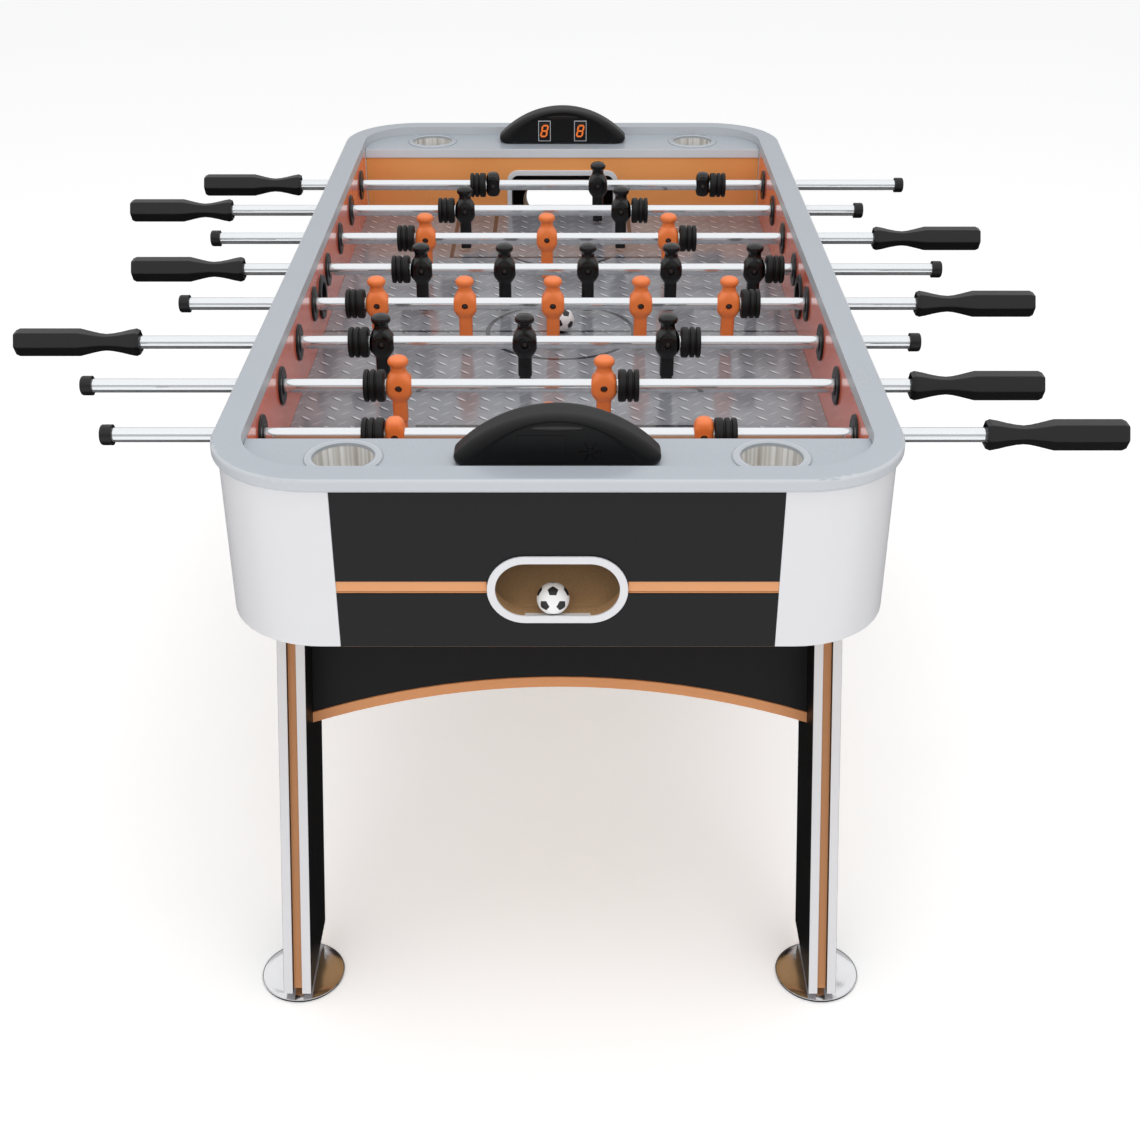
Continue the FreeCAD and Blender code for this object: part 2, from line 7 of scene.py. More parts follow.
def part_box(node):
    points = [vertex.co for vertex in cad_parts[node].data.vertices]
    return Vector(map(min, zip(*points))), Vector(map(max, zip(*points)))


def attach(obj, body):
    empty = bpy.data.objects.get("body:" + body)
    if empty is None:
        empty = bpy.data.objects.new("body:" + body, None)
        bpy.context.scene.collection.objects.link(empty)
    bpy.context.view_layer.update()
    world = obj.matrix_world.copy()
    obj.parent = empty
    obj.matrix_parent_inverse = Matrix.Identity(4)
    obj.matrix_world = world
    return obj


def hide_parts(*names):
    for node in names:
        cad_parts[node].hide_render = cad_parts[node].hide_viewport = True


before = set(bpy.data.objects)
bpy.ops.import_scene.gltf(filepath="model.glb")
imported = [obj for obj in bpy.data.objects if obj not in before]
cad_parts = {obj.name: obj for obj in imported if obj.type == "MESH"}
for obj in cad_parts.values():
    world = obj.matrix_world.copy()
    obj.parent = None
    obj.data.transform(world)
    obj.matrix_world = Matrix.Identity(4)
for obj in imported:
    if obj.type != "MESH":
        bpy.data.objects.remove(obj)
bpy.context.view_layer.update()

mm = 0.001
railLow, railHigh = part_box("top_rail")
centreX = (railLow.x + railHigh.x) / 2
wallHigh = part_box("side_panels")[1]
halfField = (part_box("base_board")[1].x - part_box("base_board")[0].x) / 2
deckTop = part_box("end_decks")[1].z
rimRadius = 43.5 * mm  # of a cup holder
figureHalf = {"whole": 16.75 * mm, "torso": 11.75 * mm}

# how many players each rod carries, and whether the outer ones are torsos alone
rows = {
    "black_goal": {"players": 3, "torsos": True},
    "black_defence": {"players": 2, "torsos": False},
    "orange_attack": {"players": 3, "torsos": False},
    "black_midfield": {"players": 5, "torsos": False},
    "orange_midfield": {"players": 5, "torsos": False},
    "black_attack": {"players": 3, "torsos": False},
    "orange_defence": {"players": 2, "torsos": False},
    "orange_goal": {"players": 3, "torsos": True},
}


# shader tools

def tone(red, green, blue):
    linear = [((value / 255 + 0.055) / 1.055) ** 2.4 for value in (red, green, blue)]
    return tuple(linear) + (1.0,)


def scaled(colour, factor):
    return tuple(min(1.0, value * factor) for value in colour[:3]) + (1.0,)


class Wire:
    def __init__(self, finish, socket):
        self.finish = finish
        self.socket = socket

    def __add__(self, other):
        return self.finish.math("ADD", self, other)

    def __radd__(self, other):
        return self.finish.math("ADD", other, self)

    def __sub__(self, other):
        return self.finish.math("SUBTRACT", self, other)

    def __rsub__(self, other):
        return self.finish.math("SUBTRACT", other, self)

    def __mul__(self, other):
        return self.finish.math("MULTIPLY", self, other)

    def __rmul__(self, other):
        return self.finish.math("MULTIPLY", other, self)

    def __abs__(self):
        return self.finish.math("ABSOLUTE", self)


class Finish:
    def __init__(self, name, **constants):
        self.material = bpy.data.materials.new(name)
        self.material.use_nodes = True
        self.nodes = self.material.node_tree.nodes
        self.links = self.material.node_tree.links
        self.shader = self.nodes["Principled BSDF"]
        for key, value in constants.items():
            self.put(key, value)

    def put(self, key, value):
        # coatWeight stands for the socket called Coat Weight, and so on
        label = "".join(" " + letter if letter.isupper() else letter for letter in key).title()
        self.join(self.shader.inputs[label.replace("Ior", "IOR")], value)

    def join(self, socket, value):
        if isinstance(value, Wire):
            self.links.new(value.socket, socket)
        else:
            socket.default_value = value

    def node(self, kind, settings, inputs, output=0):
        made = self.nodes.new(kind)
        for key, value in settings.items():
            setattr(made, key, value)
        for key, value in inputs.items():
            self.join(made.inputs[key], value)
        return Wire(self, made.outputs[output])

    def math(self, operation, *values, clamp=False):
        settings = {"operation": operation, "use_clamp": clamp}
        return self.node("ShaderNodeMath", settings, dict(enumerate(values)))

    def least(self, *values):
        found = values[0]
        for value in values[1:]:
            found = self.math("MINIMUM", found, value)
        return found

    def most(self, first, second):
        return self.math("MAXIMUM", first, second)

    def held(self, value):
        return self.math("MULTIPLY", value, 1.0, clamp=True)

    def coords(self, centre=(0, 0, 0), scale=(1, 1, 1)):
        places = self.node("ShaderNodeTexCoord", {}, {}, "Object")
        shift = tuple(-value * factor for value, factor in zip(centre, scale))
        return self.node("ShaderNodeMapping", {}, {"Vector": places, "Location": shift, "Scale": scale})

    def parts(self, places):
        return [self.node("ShaderNodeSeparateXYZ", {}, {0: places}, axis) for axis in "XYZ"]

    def noise(self, places, size, detail=2.0, rough=0.5):
        inputs = {"Vector": places, "Scale": 1 / size, "Detail": detail, "Roughness": rough}
        return self.node("ShaderNodeTexNoise", {}, inputs, "Fac")

    def mix(self, factor, first, second, blend="MIX"):
        settings = {"data_type": "RGBA", "blend_type": blend}
        return self.node("ShaderNodeMix", settings, {0: factor, 6: first, 7: second}, 2)

    def bump(self, height, depth, strength=1.0):
        return self.node("ShaderNodeBump", {}, {"Height": height, "Distance": depth, "Strength": strength})


def evenFinish(name, colour, rough, grain, depth, drift=0.03, scale=(1, 1, 1), **constants):
    # one colour with a slow drift in tone, a fine grain and uneven gloss
    finish = Finish(name, **constants)
    places = finish.coords(scale=scale)
    cloud = finish.noise(places, 0.11, 3.0)
    fine = finish.noise(places, grain, 2.0)
    finish.put("baseColor", finish.mix(cloud, scaled(colour, 1 - drift), scaled(colour, 1 + drift)))
    finish.put("roughness", finish.held(fine * 0.12 + cloud * 0.08 + (rough - 0.10)))
    finish.put("normal", finish.bump(fine, depth))
    return finish


# stage: camera, floor, light

def addCamera():
    setUp = {"lens": 50, "tilt": 60, "right": 0.0135, "back": -2.1904, "height": 1.5384}
    data = bpy.data.cameras.new("viewpoint")
    data.lens = setUp["lens"]
    data.sensor_width = 36
    viewer = bpy.data.objects.new("viewpoint", data)
    viewer.location = (centreX + setUp["right"], setUp["back"], setUp["height"])
    viewer.rotation_euler = (radians(setUp["tilt"]), 0, 0)
    bpy.context.scene.collection.objects.link(viewer)
    bpy.context.scene.camera = viewer


def addSheet(name, width, length, matrix, finish):
    bm = bmesh.new()
    place = matrix @ Matrix.Diagonal((width, length, 1, 1))
    bmesh.ops.create_grid(bm, x_segments=1, y_segments=1, size=0.5, matrix=place)
    mesh = bpy.data.meshes.new(name)
    bm.to_mesh(mesh)
    bm.free()
    mesh.materials.append(finish.material)
    sheet = bpy.data.objects.new(name, mesh)
    bpy.context.scene.collection.objects.link(sheet)
    return sheet


def addStage():
    studio = {"floor": 200, "sky": 0.66, "floorGlow": 0.30, "cardGlow": 1.15}
    white = (1, 1, 1, 1)
    floorFinish = Finish("paleFloor", roughness=0.6, specularIorLevel=0.0, emissionColor=white,
                         emissionStrength=studio["floorGlow"])
    cloud = floorFinish.noise(floorFinish.coords(), 1.3, 3.0)
    floorFinish.put("baseColor", floorFinish.mix(cloud, tone(247, 247, 248), tone(250, 250, 250)))
    addSheet("floor", studio["floor"], studio["floor"], Matrix.Identity(4), floorFinish)
    darkCard = Finish("darkCard", baseColor=(0.012, 0.013, 0.014, 1), roughness=1.0)
    flat = Matrix.Translation((centreX, 2.55, 0.002))
    upright = Matrix.Translation((centreX, -6.0, 2.70)) @ Matrix.Rotation(radians(90), 4, "X")
    cards = [
        addSheet("groundCard", 14, 7.1, flat, darkCard),
        addSheet("stripCard", 16, 0.46, upright, darkCard),
    ]
    glowCard = Finish("glowCard", baseColor=(0, 0, 0, 1), emissionColor=white,
                      emissionStrength=studio["cardGlow"])
    cards.append(addSheet("glowCard", 12, 10, at(centreX, 0.5, 3.5), glowCard))
    for card in cards:
        card.visible_camera = False
        card.visible_diffuse = False
        card.visible_shadow = False
    world = bpy.data.worlds.new("brightStudio")
    world.use_nodes = True
    backdrop = world.node_tree.nodes["Background"]
    backdrop.inputs["Color"].default_value = white
    backdrop.inputs["Strength"].default_value = studio["sky"]
    bpy.context.scene.world = world
    bpy.context.scene.view_settings.view_transform = "Standard"


def addLamps():
    # name, place, aim, width, height, power
    lamps = [
        ("frontLamp", (-0.6, -4.2, 2.6), (0, 0, 0.5), 4.0, 2.4, 26),
        ("topLamp", (0.3, -0.9, 3.7), (0, 0, 0.7), 2.6, 2.6, 38),
    ]
    for name, place, aim, width, height, power in lamps:
        data = bpy.data.lights.new(name, "AREA")
        data.shape = "RECTANGLE"
        data.size = width
        data.size_y = height
        data.energy = power
        lamp = bpy.data.objects.new(name, data)
        lamp.location = place
        lamp.rotation_euler = (Vector(aim) - Vector(place)).to_track_quat("-Z", "Y").to_euler()
        lamp.visible_glossy = False
        bpy.context.scene.collection.objects.link(lamp)


# mesh tools

def addPiece(bm, name, body, slotName, finishes, replaced=(), crease=35):
    mesh = bpy.data.meshes.new(name)
    bm.to_mesh(mesh)
    bm.free()
    for finish in finishes:
        mesh.materials.append(finish.material)
    mesh.shade_smooth()
    mesh.set_sharp_from_angle(angle=radians(crease))
    piece = bpy.data.objects.new(name, mesh)
    bpy.context.scene.collection.objects.link(piece)
    flats = piece.modifiers.new("flats", "WEIGHTED_NORMAL")
    flats.keep_sharp = True
    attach(piece, body)
    if replaced:
        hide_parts(*replaced)
    return piece


def roundEdges(bm, width, segments=3, angle=30):
    edges = [edge for edge in bm.edges if edge.is_manifold and edge.calc_face_angle(0) > radians(angle)]
    bmesh.ops.bevel(bm, geom=edges, offset=width, offset_type="OFFSET", segments=segments,
                    profile=0.5, affect="EDGES", material=-1, clamp_overlap=True)


def mergedCopy(node):
    bm = bmesh.new()
    bm.from_mesh(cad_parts[node].data)
    bmesh.ops.remove_doubles(bm, verts=bm.verts, dist=3e-6)
    bmesh.ops.dissolve_limit(bm, angle_limit=radians(0.4), verts=bm.verts, edges=bm.edges)
    return bm


def softCopy(node, name, slotName, finishes, width, segments=3, pick=None):
    # the CAD shape with its crisp edges broken; pick gives a face's finish
    bm = mergedCopy(node)
    for face in bm.faces:
        face.material_index = pick(face) if pick else 0
    roundEdges(bm, width, segments)
    return addPiece(bm, name, "cabinet", slotName, finishes, [node])


def turned(profile, axis, steps=64):
    # points are (distance along the axis, radius); a full turn about the x or the z axis
    bm = bmesh.new()
    if axis == "X":
        verts = [bm.verts.new((along, 0, radius)) for along, radius in profile]
        direction = (1, 0, 0)
    else:
        verts = [bm.verts.new((radius, 0, along)) for along, radius in profile]
        direction = (0, 0, 1)
    edges = [bm.edges.new(pair) for pair in zip(verts, verts[1:])]
    bmesh.ops.spin(bm, geom=verts + edges, cent=(0, 0, 0), axis=direction, angle=2 * pi,
                   steps=steps, use_merge=True)
    bmesh.ops.remove_doubles(bm, verts=bm.verts, dist=1e-6)
    bmesh.ops.recalc_face_normals(bm, faces=bm.faces)
    return bm


def arcPoints(along, radius, size, start, end, steps=5):
    # a quarter round in a profile, angles in degrees from the axis direction
    turns = [radians(start + (end - start) * step / steps) for step in range(steps + 1)]
    return [(along + size * cos(turn), radius + size * sin(turn)) for turn in turns]


def addShape(bm, other, matrix=None):
    # moves a finished shape into a piece
    if matrix:
        bmesh.ops.transform(other, matrix=matrix, verts=other.verts)
        if matrix.determinant() < 0:
            bmesh.ops.reverse_faces(other, faces=other.faces)
    mesh = bpy.data.meshes.new("passing")
    other.to_mesh(mesh)
    other.free()
    bm.from_mesh(mesh)
    bpy.data.meshes.remove(mesh)


def repeated(makeShape, matrices):
    bm = bmesh.new()
    for matrix in matrices:
        addShape(bm, makeShape(), matrix)
    return bm


def fromMesh(mesh):
    bm = bmesh.new()
    bm.from_mesh(mesh)
    return bm


def slab(width, depth, height, matrix=None, round=0.0, segments=3):
    bm = bmesh.new()
    bmesh.ops.create_cube(bm, size=1, matrix=Matrix.Diagonal((width, depth, height, 1)))
    if round:
        roundEdges(bm, round, segments)
    if matrix:
        bmesh.ops.transform(bm, matrix=matrix, verts=bm.verts)
    return bm


def cut(bm, cutter):
    # takes one closed shape out of another
    found = []
    for name, shape in (("body", bm), ("cutter", cutter)):
        mesh = bpy.data.meshes.new(name)
        shape.to_mesh(mesh)
        shape.free()
        thing = bpy.data.objects.new(name, mesh)
        bpy.context.scene.collection.objects.link(thing)
        found.append(thing)
    taking = found[0].modifiers.new("taking", "BOOLEAN")
    taking.operation = "DIFFERENCE"
    taking.solver = "EXACT"
    taking.object = found[1]
    bpy.context.view_layer.update()
    ready = found[0].evaluated_get(bpy.context.evaluated_depsgraph_get())
    result = bmesh.new()
    result.from_mesh(ready.to_mesh())
    ready.to_mesh_clear()
    for thing in found:
        mesh = thing.data
        bpy.data.objects.remove(thing)
        bpy.data.meshes.remove(mesh)
    return result


def at(x, y, z):
    return Matrix.Translation((x, y, z))


# finishes

silverRail = evenFinish("silverRail", tone(194, 198, 203), 0.38, 0.0012, 0.00002)
silverDeck = evenFinish("silverDeck", tone(173, 180, 188), 0.30, 0.0012, 0.00002)
blackPanel = evenFinish("blackPanel", tone(18, 18, 20), 0.45, 0.0009, 0.00003, drift=0.06,
                        specularIorLevel=0.25)
whiteCover = evenFinish("whiteCover", tone(222, 222, 225), 0.32, 0.002, 0.00002, drift=0.01)
lightOrange = evenFinish("lightOrange", tone(224, 158, 108), 0.42, 0.0015, 0.00002, drift=0.04,
                         specularIorLevel=0.3)
# painted light: a lighter copy of the deck silver for the deck's faces that look along y
silverEdgePaintedLight = evenFinish("silverEdgePaintedLight", tone(222, 226, 231), 0.34, 0.0012, 0.00002)
silverFrame = evenFinish("silverFrame", tone(228, 231, 235), 0.28, 0.0008, 0.00002)
blackPlastic = evenFinish("blackPlastic", tone(16, 16, 17), 0.30, 0.0007, 0.00003, drift=0.08,
                          specularIorLevel=0.35)
scorePlastic = evenFinish("scorePlastic", tone(16, 16, 17), 0.45, 0.0007, 0.00003, drift=0.08,
                          specularIorLevel=0.22)
blackMatt = evenFinish("blackMatt", tone(14, 14, 15), 0.50, 0.0009, 0.00004, drift=0.10,
                       specularIorLevel=0.3)
gripRubber = evenFinish("gripRubber", tone(18, 17, 18), 0.40, 0.0006, 0.00004, drift=0.08,
                        specularIorLevel=0.35)
blackFigure = evenFinish("blackFigure", tone(8, 8, 9), 0.17, 0.003, 0.00001, drift=0.05)
orangeFigure = evenFinish("orangeFigure", tone(244, 128, 62), 0.36, 0.003, 0.00003, drift=0.05)
whiteGloss = evenFinish("whiteGloss", tone(232, 231, 228), 0.18, 0.004, 0.00002, drift=0.01)
chromeRod = evenFinish("chromeRod", tone(226, 229, 232), 0.05, 0.003, 0.000001, drift=0.01,
                       scale=(0.15, 1, 1), metallic=0.8)
chromeFoot = evenFinish("chromeFoot", tone(214, 214, 216), 0.14, 0.004, 0.000006, drift=0.02, metallic=1.0)
# real bolt heads, whose dark tone is also painted shade for the screw holes they fill
boltSteelAndHoleShade = evenFinish("boltSteelAndHoleShade", tone(92, 88, 86), 0.35, 0.0008, 0.00002, drift=0.10, metallic=0.9)
displayDark = evenFinish("displayDark", tone(12, 10, 10), 0.12, 0.002, 0.00001)
displayRim = evenFinish("displayRim", tone(190, 192, 198), 0.45, 0.001, 0.00002)
orangeEnd = evenFinish("orangeEnd", tone(252, 168, 96), 0.30, 0.004, 0.00002, drift=0.05, coatWeight=0.2)
orangeSide = evenFinish("orangeSide", tone(255, 120, 88), 0.24, 0.004, 0.00002, drift=0.05,
                        coatWeight=0.6, coatRoughness=0.1)


def cupFinish():
    # polished bowl with painted reflections: upright light and dark streaks round its wall
    finish = Finish("cupWithPaintedReflections", metallic=0.35, roughness=0.2)
    low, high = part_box("cup_holders")
    x, y, z = finish.parts(finish.coords(centre=(centreX, 0, 0)))
    aside = abs(x) - ((high.x - low.x) / 2 - rimRadius)
    along = abs(y) - ((high.y - low.y) / 2 - rimRadius)
    angle = finish.math("ARCTAN2", along, aside)
    circle = {0: finish.math("COSINE", angle), 1: finish.math("SINE", angle)}
    ring = finish.node("ShaderNodeCombineXYZ", {}, circle)
    # painted reflections: noise round the bowl's axis gives light and dark upright streaks
    paintedReflectionStreaks = finish.noise(ring, 0.22, 3.0, 0.6)
    wall = finish.held((high.z - 4 * mm - z) * 600)
    bowlWithPaintedReflections = finish.mix(finish.held(paintedReflectionStreaks * 4 - 1.4), tone(190, 184, 176), tone(255, 255, 254))
    finish.put("baseColor", finish.mix(wall, tone(182, 188, 195), bowlWithPaintedReflections))
    return finish


def rawBoardFinish():
    finish = Finish("rawBoard", roughness=0.85)
    places = finish.coords(scale=(1, 1, 2.2))
    fibres = finish.noise(places, 0.0016, 4.0, 0.7)
    cloud = finish.noise(places, 0.03, 3.0)
    pale = finish.mix(cloud, tone(206, 164, 112), tone(222, 180, 126))
    finish.put("baseColor", finish.mix(finish.held(fibres * 1.8 - 0.5), tone(176, 136, 92), pale))
    finish.put("normal", finish.bump(fibres, 0.0001))
    return finish


def digitFinish():
    finish = Finish("orangeDigit", baseColor=tone(222, 100, 36), roughness=0.4, emissionStrength=0.3)
    glow = finish.noise(finish.coords(), 0.002, 1.0)
    finish.put("emissionColor", finish.mix(glow, tone(255, 120, 30), tone(255, 160, 70)))
    return finish


def fieldFinish():
    # glossy print of chequered plate with the pitch's lines over it
    plate = {"pitchX": 0.033, "pitchY": 0.0306, "halfLength": 0.0105, "halfWidth": 0.0024, "shade": 0.0017}
    pitch = {"line": 0.0034, "soft": 2200, "circle": 0.107, "outerWidth": 0.182, "outerFront": 0.3305,
             "innerWidth": 0.116, "innerFront": 0.442, "arcMiddle": 0.382, "arc": 0.095}
    finish = Finish("printedField", roughness=0.16, coatWeight=0.25, coatRoughness=0.06)
    places = finish.coords(centre=(centreX, 0, 0))
    x, y = finish.parts(places)[:2]

    def tread(shiftX, shiftY, lean):
        u = finish.math("WRAP", x + shiftX, plate["pitchX"] / 2, -plate["pitchX"] / 2)
        v = finish.math("WRAP", y + shiftY, plate["pitchY"] / 2, -plate["pitchY"] / 2)
        along = (u + v * lean) * sqrt(0.5)
        across = (v - u * lean) * sqrt(0.5)
        swell = 1 - along * along * (1 / plate["halfLength"] ** 2)
        return finish.held((swell - abs(across) * (1 / plate["halfWidth"])) * 2.5)

    bright = tread(0, 0, -1)
    dark = tread(plate["shade"], plate["shade"], -1)
    faint = tread(plate["pitchX"] / 2, plate["pitchY"] / 2, 1)
    cloud = finish.noise(places, 0.16, 4.0, 0.6)
    smear = finish.noise(finish.coords(scale=(1, 3, 1)), 0.014, 5.0, 0.65)
    base = finish.mix(finish.held(cloud * 1.6 - 0.3), tone(116, 119, 126), tone(162, 164, 170))
    base = finish.mix(finish.held(smear * 2.4 - 0.9) * 0.5, base, tone(112, 114, 122))
    base = finish.mix(faint * 0.30, base, tone(196, 198, 204))
    base = finish.mix(finish.held(dark - bright) * 0.9, base, tone(62, 64, 72))
    base = finish.mix(bright * 0.62, base, tone(232, 234, 240))
    ax, ay = abs(x), abs(y)
    fromMiddle = finish.math("SQRT", x * x + y * y)
    overArc = ay - pitch["arcMiddle"]
    fromSpot = finish.math("SQRT", x * x + overArc * overArc)
    distance = finish.least(
        ay,
        abs(fromMiddle - pitch["circle"]),
        abs(finish.most(ax - pitch["outerWidth"], pitch["outerFront"] - ay)),
        abs(finish.most(ax - pitch["innerWidth"], pitch["innerFront"] - ay)),
        finish.most(abs(fromSpot - pitch["arc"]), ay - pitch["outerFront"]),
    )
    spot = fromMiddle - 0.005
    drawn = finish.held((pitch["line"] - finish.least(distance, spot)) * pitch["soft"] + 0.5)
    finish.put("baseColor", finish.mix(drawn * 0.94, base, tone(52, 52, 56)))
    finish.put("normal", finish.bump(finish.noise(places, 0.004, 1.0), 0.00003))
    return finish


chromeCup = cupFinish()
rawBoard = rawBoardFinish()
orangeDigit = digitFinish()
printedField = fieldFinish()
print("finishes ready")


# cabinet

def paintNode(node, finish):
    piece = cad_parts[node]
    piece.data.materials.clear()
    piece.data.materials.append(finish.material)


def makeCabinet():
    soft = {"rail": 0.9 * mm, "deck": 1.2 * mm, "panel": 0.6 * mm, "cover": 0.9 * mm, "stripe": 0.4 * mm,
            "frame": 1.1 * mm, "returnFrame": 1.0 * mm, "leg": 0.7 * mm}
    hole = {"inset": 8 * mm, "reach": 75 * mm}
    endLow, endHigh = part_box("end_panels")

    def sideFace(face):
        # orange towards the field, black elsewhere
        inner = abs(face.calc_center_median().x - centreX) < halfField + mm
        return 1 if inner and abs(face.normal.x) > 0.9 else 0

    def endFace(face):
        # black outside and inside, bare board round the ball return
        middle = face.calc_center_median()
        inside = abs(middle.y) < endHigh.y - hole["inset"] and abs(middle.x - centreX) < hole["reach"]
        return 1 if inside and abs(face.normal.y) < 0.1 else 0

    # painted shade and light: the rail's top faces take the darker deck silver, its other faces the lighter
    # rail silver
    softCopy("top_rail", "topRail", "silver_rail", [silverRail, silverDeck], soft["rail"],
             pick=lambda face: 1 if face.normal.z > 0.9 else 0)
    # painted light: the deck's faces looking along y take the lighter edge silver
    softCopy("end_decks", "endDecks", "silver_deck", [silverDeck, silverEdgePaintedLight], soft["deck"],
             pick=lambda face: 1 if abs(face.normal.y) > 0.9 else 0)
    softCopy("side_panels", "sidePanels", "black_panel", [blackPanel, orangeSide], soft["panel"],
             pick=sideFace)
    softCopy("end_panels", "endPanels", "black_panel", [blackPanel, rawBoard], soft["panel"], pick=endFace)
    softCopy("corner_covers", "cornerCovers", "white_cover", [whiteCover], soft["cover"])
    softCopy("stripe_inlays", "stripeInlays", "orange_stripe", [lightOrange], soft["stripe"], 2)
    softCopy("goal_walls", "goalWalls", "orange_wall", [orangeEnd], soft["panel"])
    softCopy("goal_frames", "goalFrames", "silver_frame", [silverFrame], soft["frame"])
    softCopy("return_frames", "returnFrames", "white_cover", [whiteCover], soft["returnFrame"])
    softCopy("leg_boards", "legBoards", "white_leg", [whiteCover, blackPanel], soft["leg"],
             pick=lambda face: 1 if abs(face.normal.x) > 0.7 else 0)
    softCopy("leg_cores", "legCores", "orange_core", [lightOrange], soft["leg"])
    softCopy("aprons", "aprons", "black_panel", [blackPanel], soft["panel"])
    softCopy("apron_trims", "apronTrims", "orange_core", [lightOrange], soft["leg"])
    sill = {"width": 72 * mm, "depth": 12 * mm, "thick": 0.2 * mm, "overFrame": 4 * mm}
    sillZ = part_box("return_frames")[0].z + sill["overFrame"] + sill["thick"] / 2
    places = [at(centreX, side * (endHigh.y - sill["depth"] / 2), sillZ) for side in (-1, 1)]
    bm = repeated(lambda: slab(sill["width"], sill["depth"], sill["thick"]), places)
    addPiece(bm, "returnSills", "cabinet", "white_tray", [whiteGloss])
    paintNode("playfield", printedField)
    # painted shade: the return compartments are black for the dark, shaded inside of the goals
    paintNode("return_boxes", blackMatt)
    paintNode("ball_trays", rawBoard)
    paintNode("base_board", rawBoard)
    print("cabinet ready")


def makeCupHolders():
    cup = {"bore": 33.75 * mm, "wall": 1.5 * mm, "rim": 2.5 * mm, "corner": 7 * mm, "lip": 1.6 * mm,
           "edge": 2.4 * mm, "floor": 2 * mm}
    low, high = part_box("cup_holders")
    depth = high.z - low.z
    floor = -depth + cup["floor"]
    lipFall = cup["bore"] + cup["lip"]
    profile = [(floor, 0.0)]
    corner = cup["corner"]
    profile += arcPoints(floor + corner, cup["bore"] - corner - 1.2 * mm, corner, 180, 90)
    profile += arcPoints(-cup["lip"], lipFall, cup["lip"], 270, 360)
    profile += [(-0.3 * mm, lipFall + 1.0 * mm), (-0.2 * mm, rimRadius - 3.2 * mm)]
    profile += arcPoints(-cup["rim"] + 0.1 * mm, rimRadius - cup["edge"], cup["edge"], 0, 90)
    outside = cup["bore"] + cup["wall"]
    profile += [(-cup["rim"], outside), (floor, outside), (-depth, cup["bore"] - 1 * mm), (-depth, 0.0)]
    reachX = (high.x - low.x) / 2 - rimRadius
    reachY = (high.y - low.y) / 2 - rimRadius
    corners = [(-1, -1), (-1, 1), (1, -1), (1, 1)]
    places = [at(centreX + sideX * reachX, sideY * reachY, high.z) for sideX, sideY in corners]
    bm = repeated(lambda: turned(profile, "Z", 96), places)
    addPiece(bm, "cupHolders", "cabinet", "chrome_cup", [chromeCup], ["cup_holders"], crease=50)
    print("cup holders ready")


def makeBearings():
    low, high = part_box("rod_bearings")
    serveLow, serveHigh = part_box("serve_rings")
    halfSpan = (high.x - low.x) / 2
    face = wallHigh.x - centreX
    bearing = {"bore": 8.85 * mm, "sleeve": 15 * mm, "flange": 24.5 * mm, "hub": 12.6 * mm, "round": 2.0 * mm,
               "inner": 4.5 * mm, "step": 1.3 * mm, "edge": 0.6 * mm, "raise": 0.3 * mm}
    ring = {"bore": 21 * mm, "sleeve": 25 * mm, "flange": 32 * mm, "round": 1.6 * mm, "thick": 4 * mm}

    def bearingShape():
        inner = halfField - bearing["inner"]
        outer = halfSpan
        bore, hub, flange, sleeve = (bearing[key] for key in ("bore", "hub", "flange", "sleeve"))
        edge, rounding, step = (bearing[key] for key in ("edge", "round", "step"))
        raised = hub + bearing["raise"]
        profile = [(inner, bore + edge), (inner, hub - edge), (inner + edge, hub)]
        profile += [(inner + step, raised), (inner + step, flange - rounding - 1 * mm)]
        profile += arcPoints(inner + step + rounding, flange - rounding, rounding, 180, 90)
        profile += [(halfField, flange), (halfField, sleeve), (face, sleeve), (face, flange)]
        profile += arcPoints(outer - rounding - step, flange - rounding, rounding, 90, 0)
        profile += [(outer - step, raised), (outer - edge, hub), (outer, hub - edge)]
        profile += [(outer, bore + edge), (outer - edge, bore), (inner + edge, bore)]
        profile.append(profile[0])
        return turned(profile, "X", 48)

    def ringShape():
        inner = halfField - ring["thick"]
        outer = face + ring["thick"]
        rounding = ring["round"]
        flange, sleeve = ring["flange"], ring["sleeve"]
        profile = [(halfField, flange), (halfField, sleeve), (face, sleeve), (face, flange)]
        profile += arcPoints(outer - rounding, ring["flange"] - rounding, rounding, 90, 0)
        profile += arcPoints(outer - rounding, ring["bore"] + rounding, rounding, 0, -90)
        profile += arcPoints(inner + rounding, ring["bore"] + rounding, rounding, 270, 180)
        profile += arcPoints(inner + rounding, ring["flange"] - rounding, rounding, 180, 90)
        profile.append(profile[0])
        return turned(profile, "X", 64)

    mirrorX = Matrix.Scale(-1, 4, (1, 0, 0))
    places = []
    for name in rows:
        fact = rodFacts(name)
        place = at(centreX, fact["y"], fact["z"])
        places += [place, place @ mirrorX]
    addPiece(repeated(bearingShape, places), "rodBearings", "cabinet", "black_plastic", [blackPlastic],
             ["rod_bearings"])
    middle = at(centreX, 0, (serveLow.z + serveHigh.z) / 2)
    addPiece(repeated(ringShape, [middle, middle @ mirrorX]), "serveRings", "cabinet", "black_plastic",
             [blackPlastic], ["serve_rings"])
    print("bearings ready")


# score units

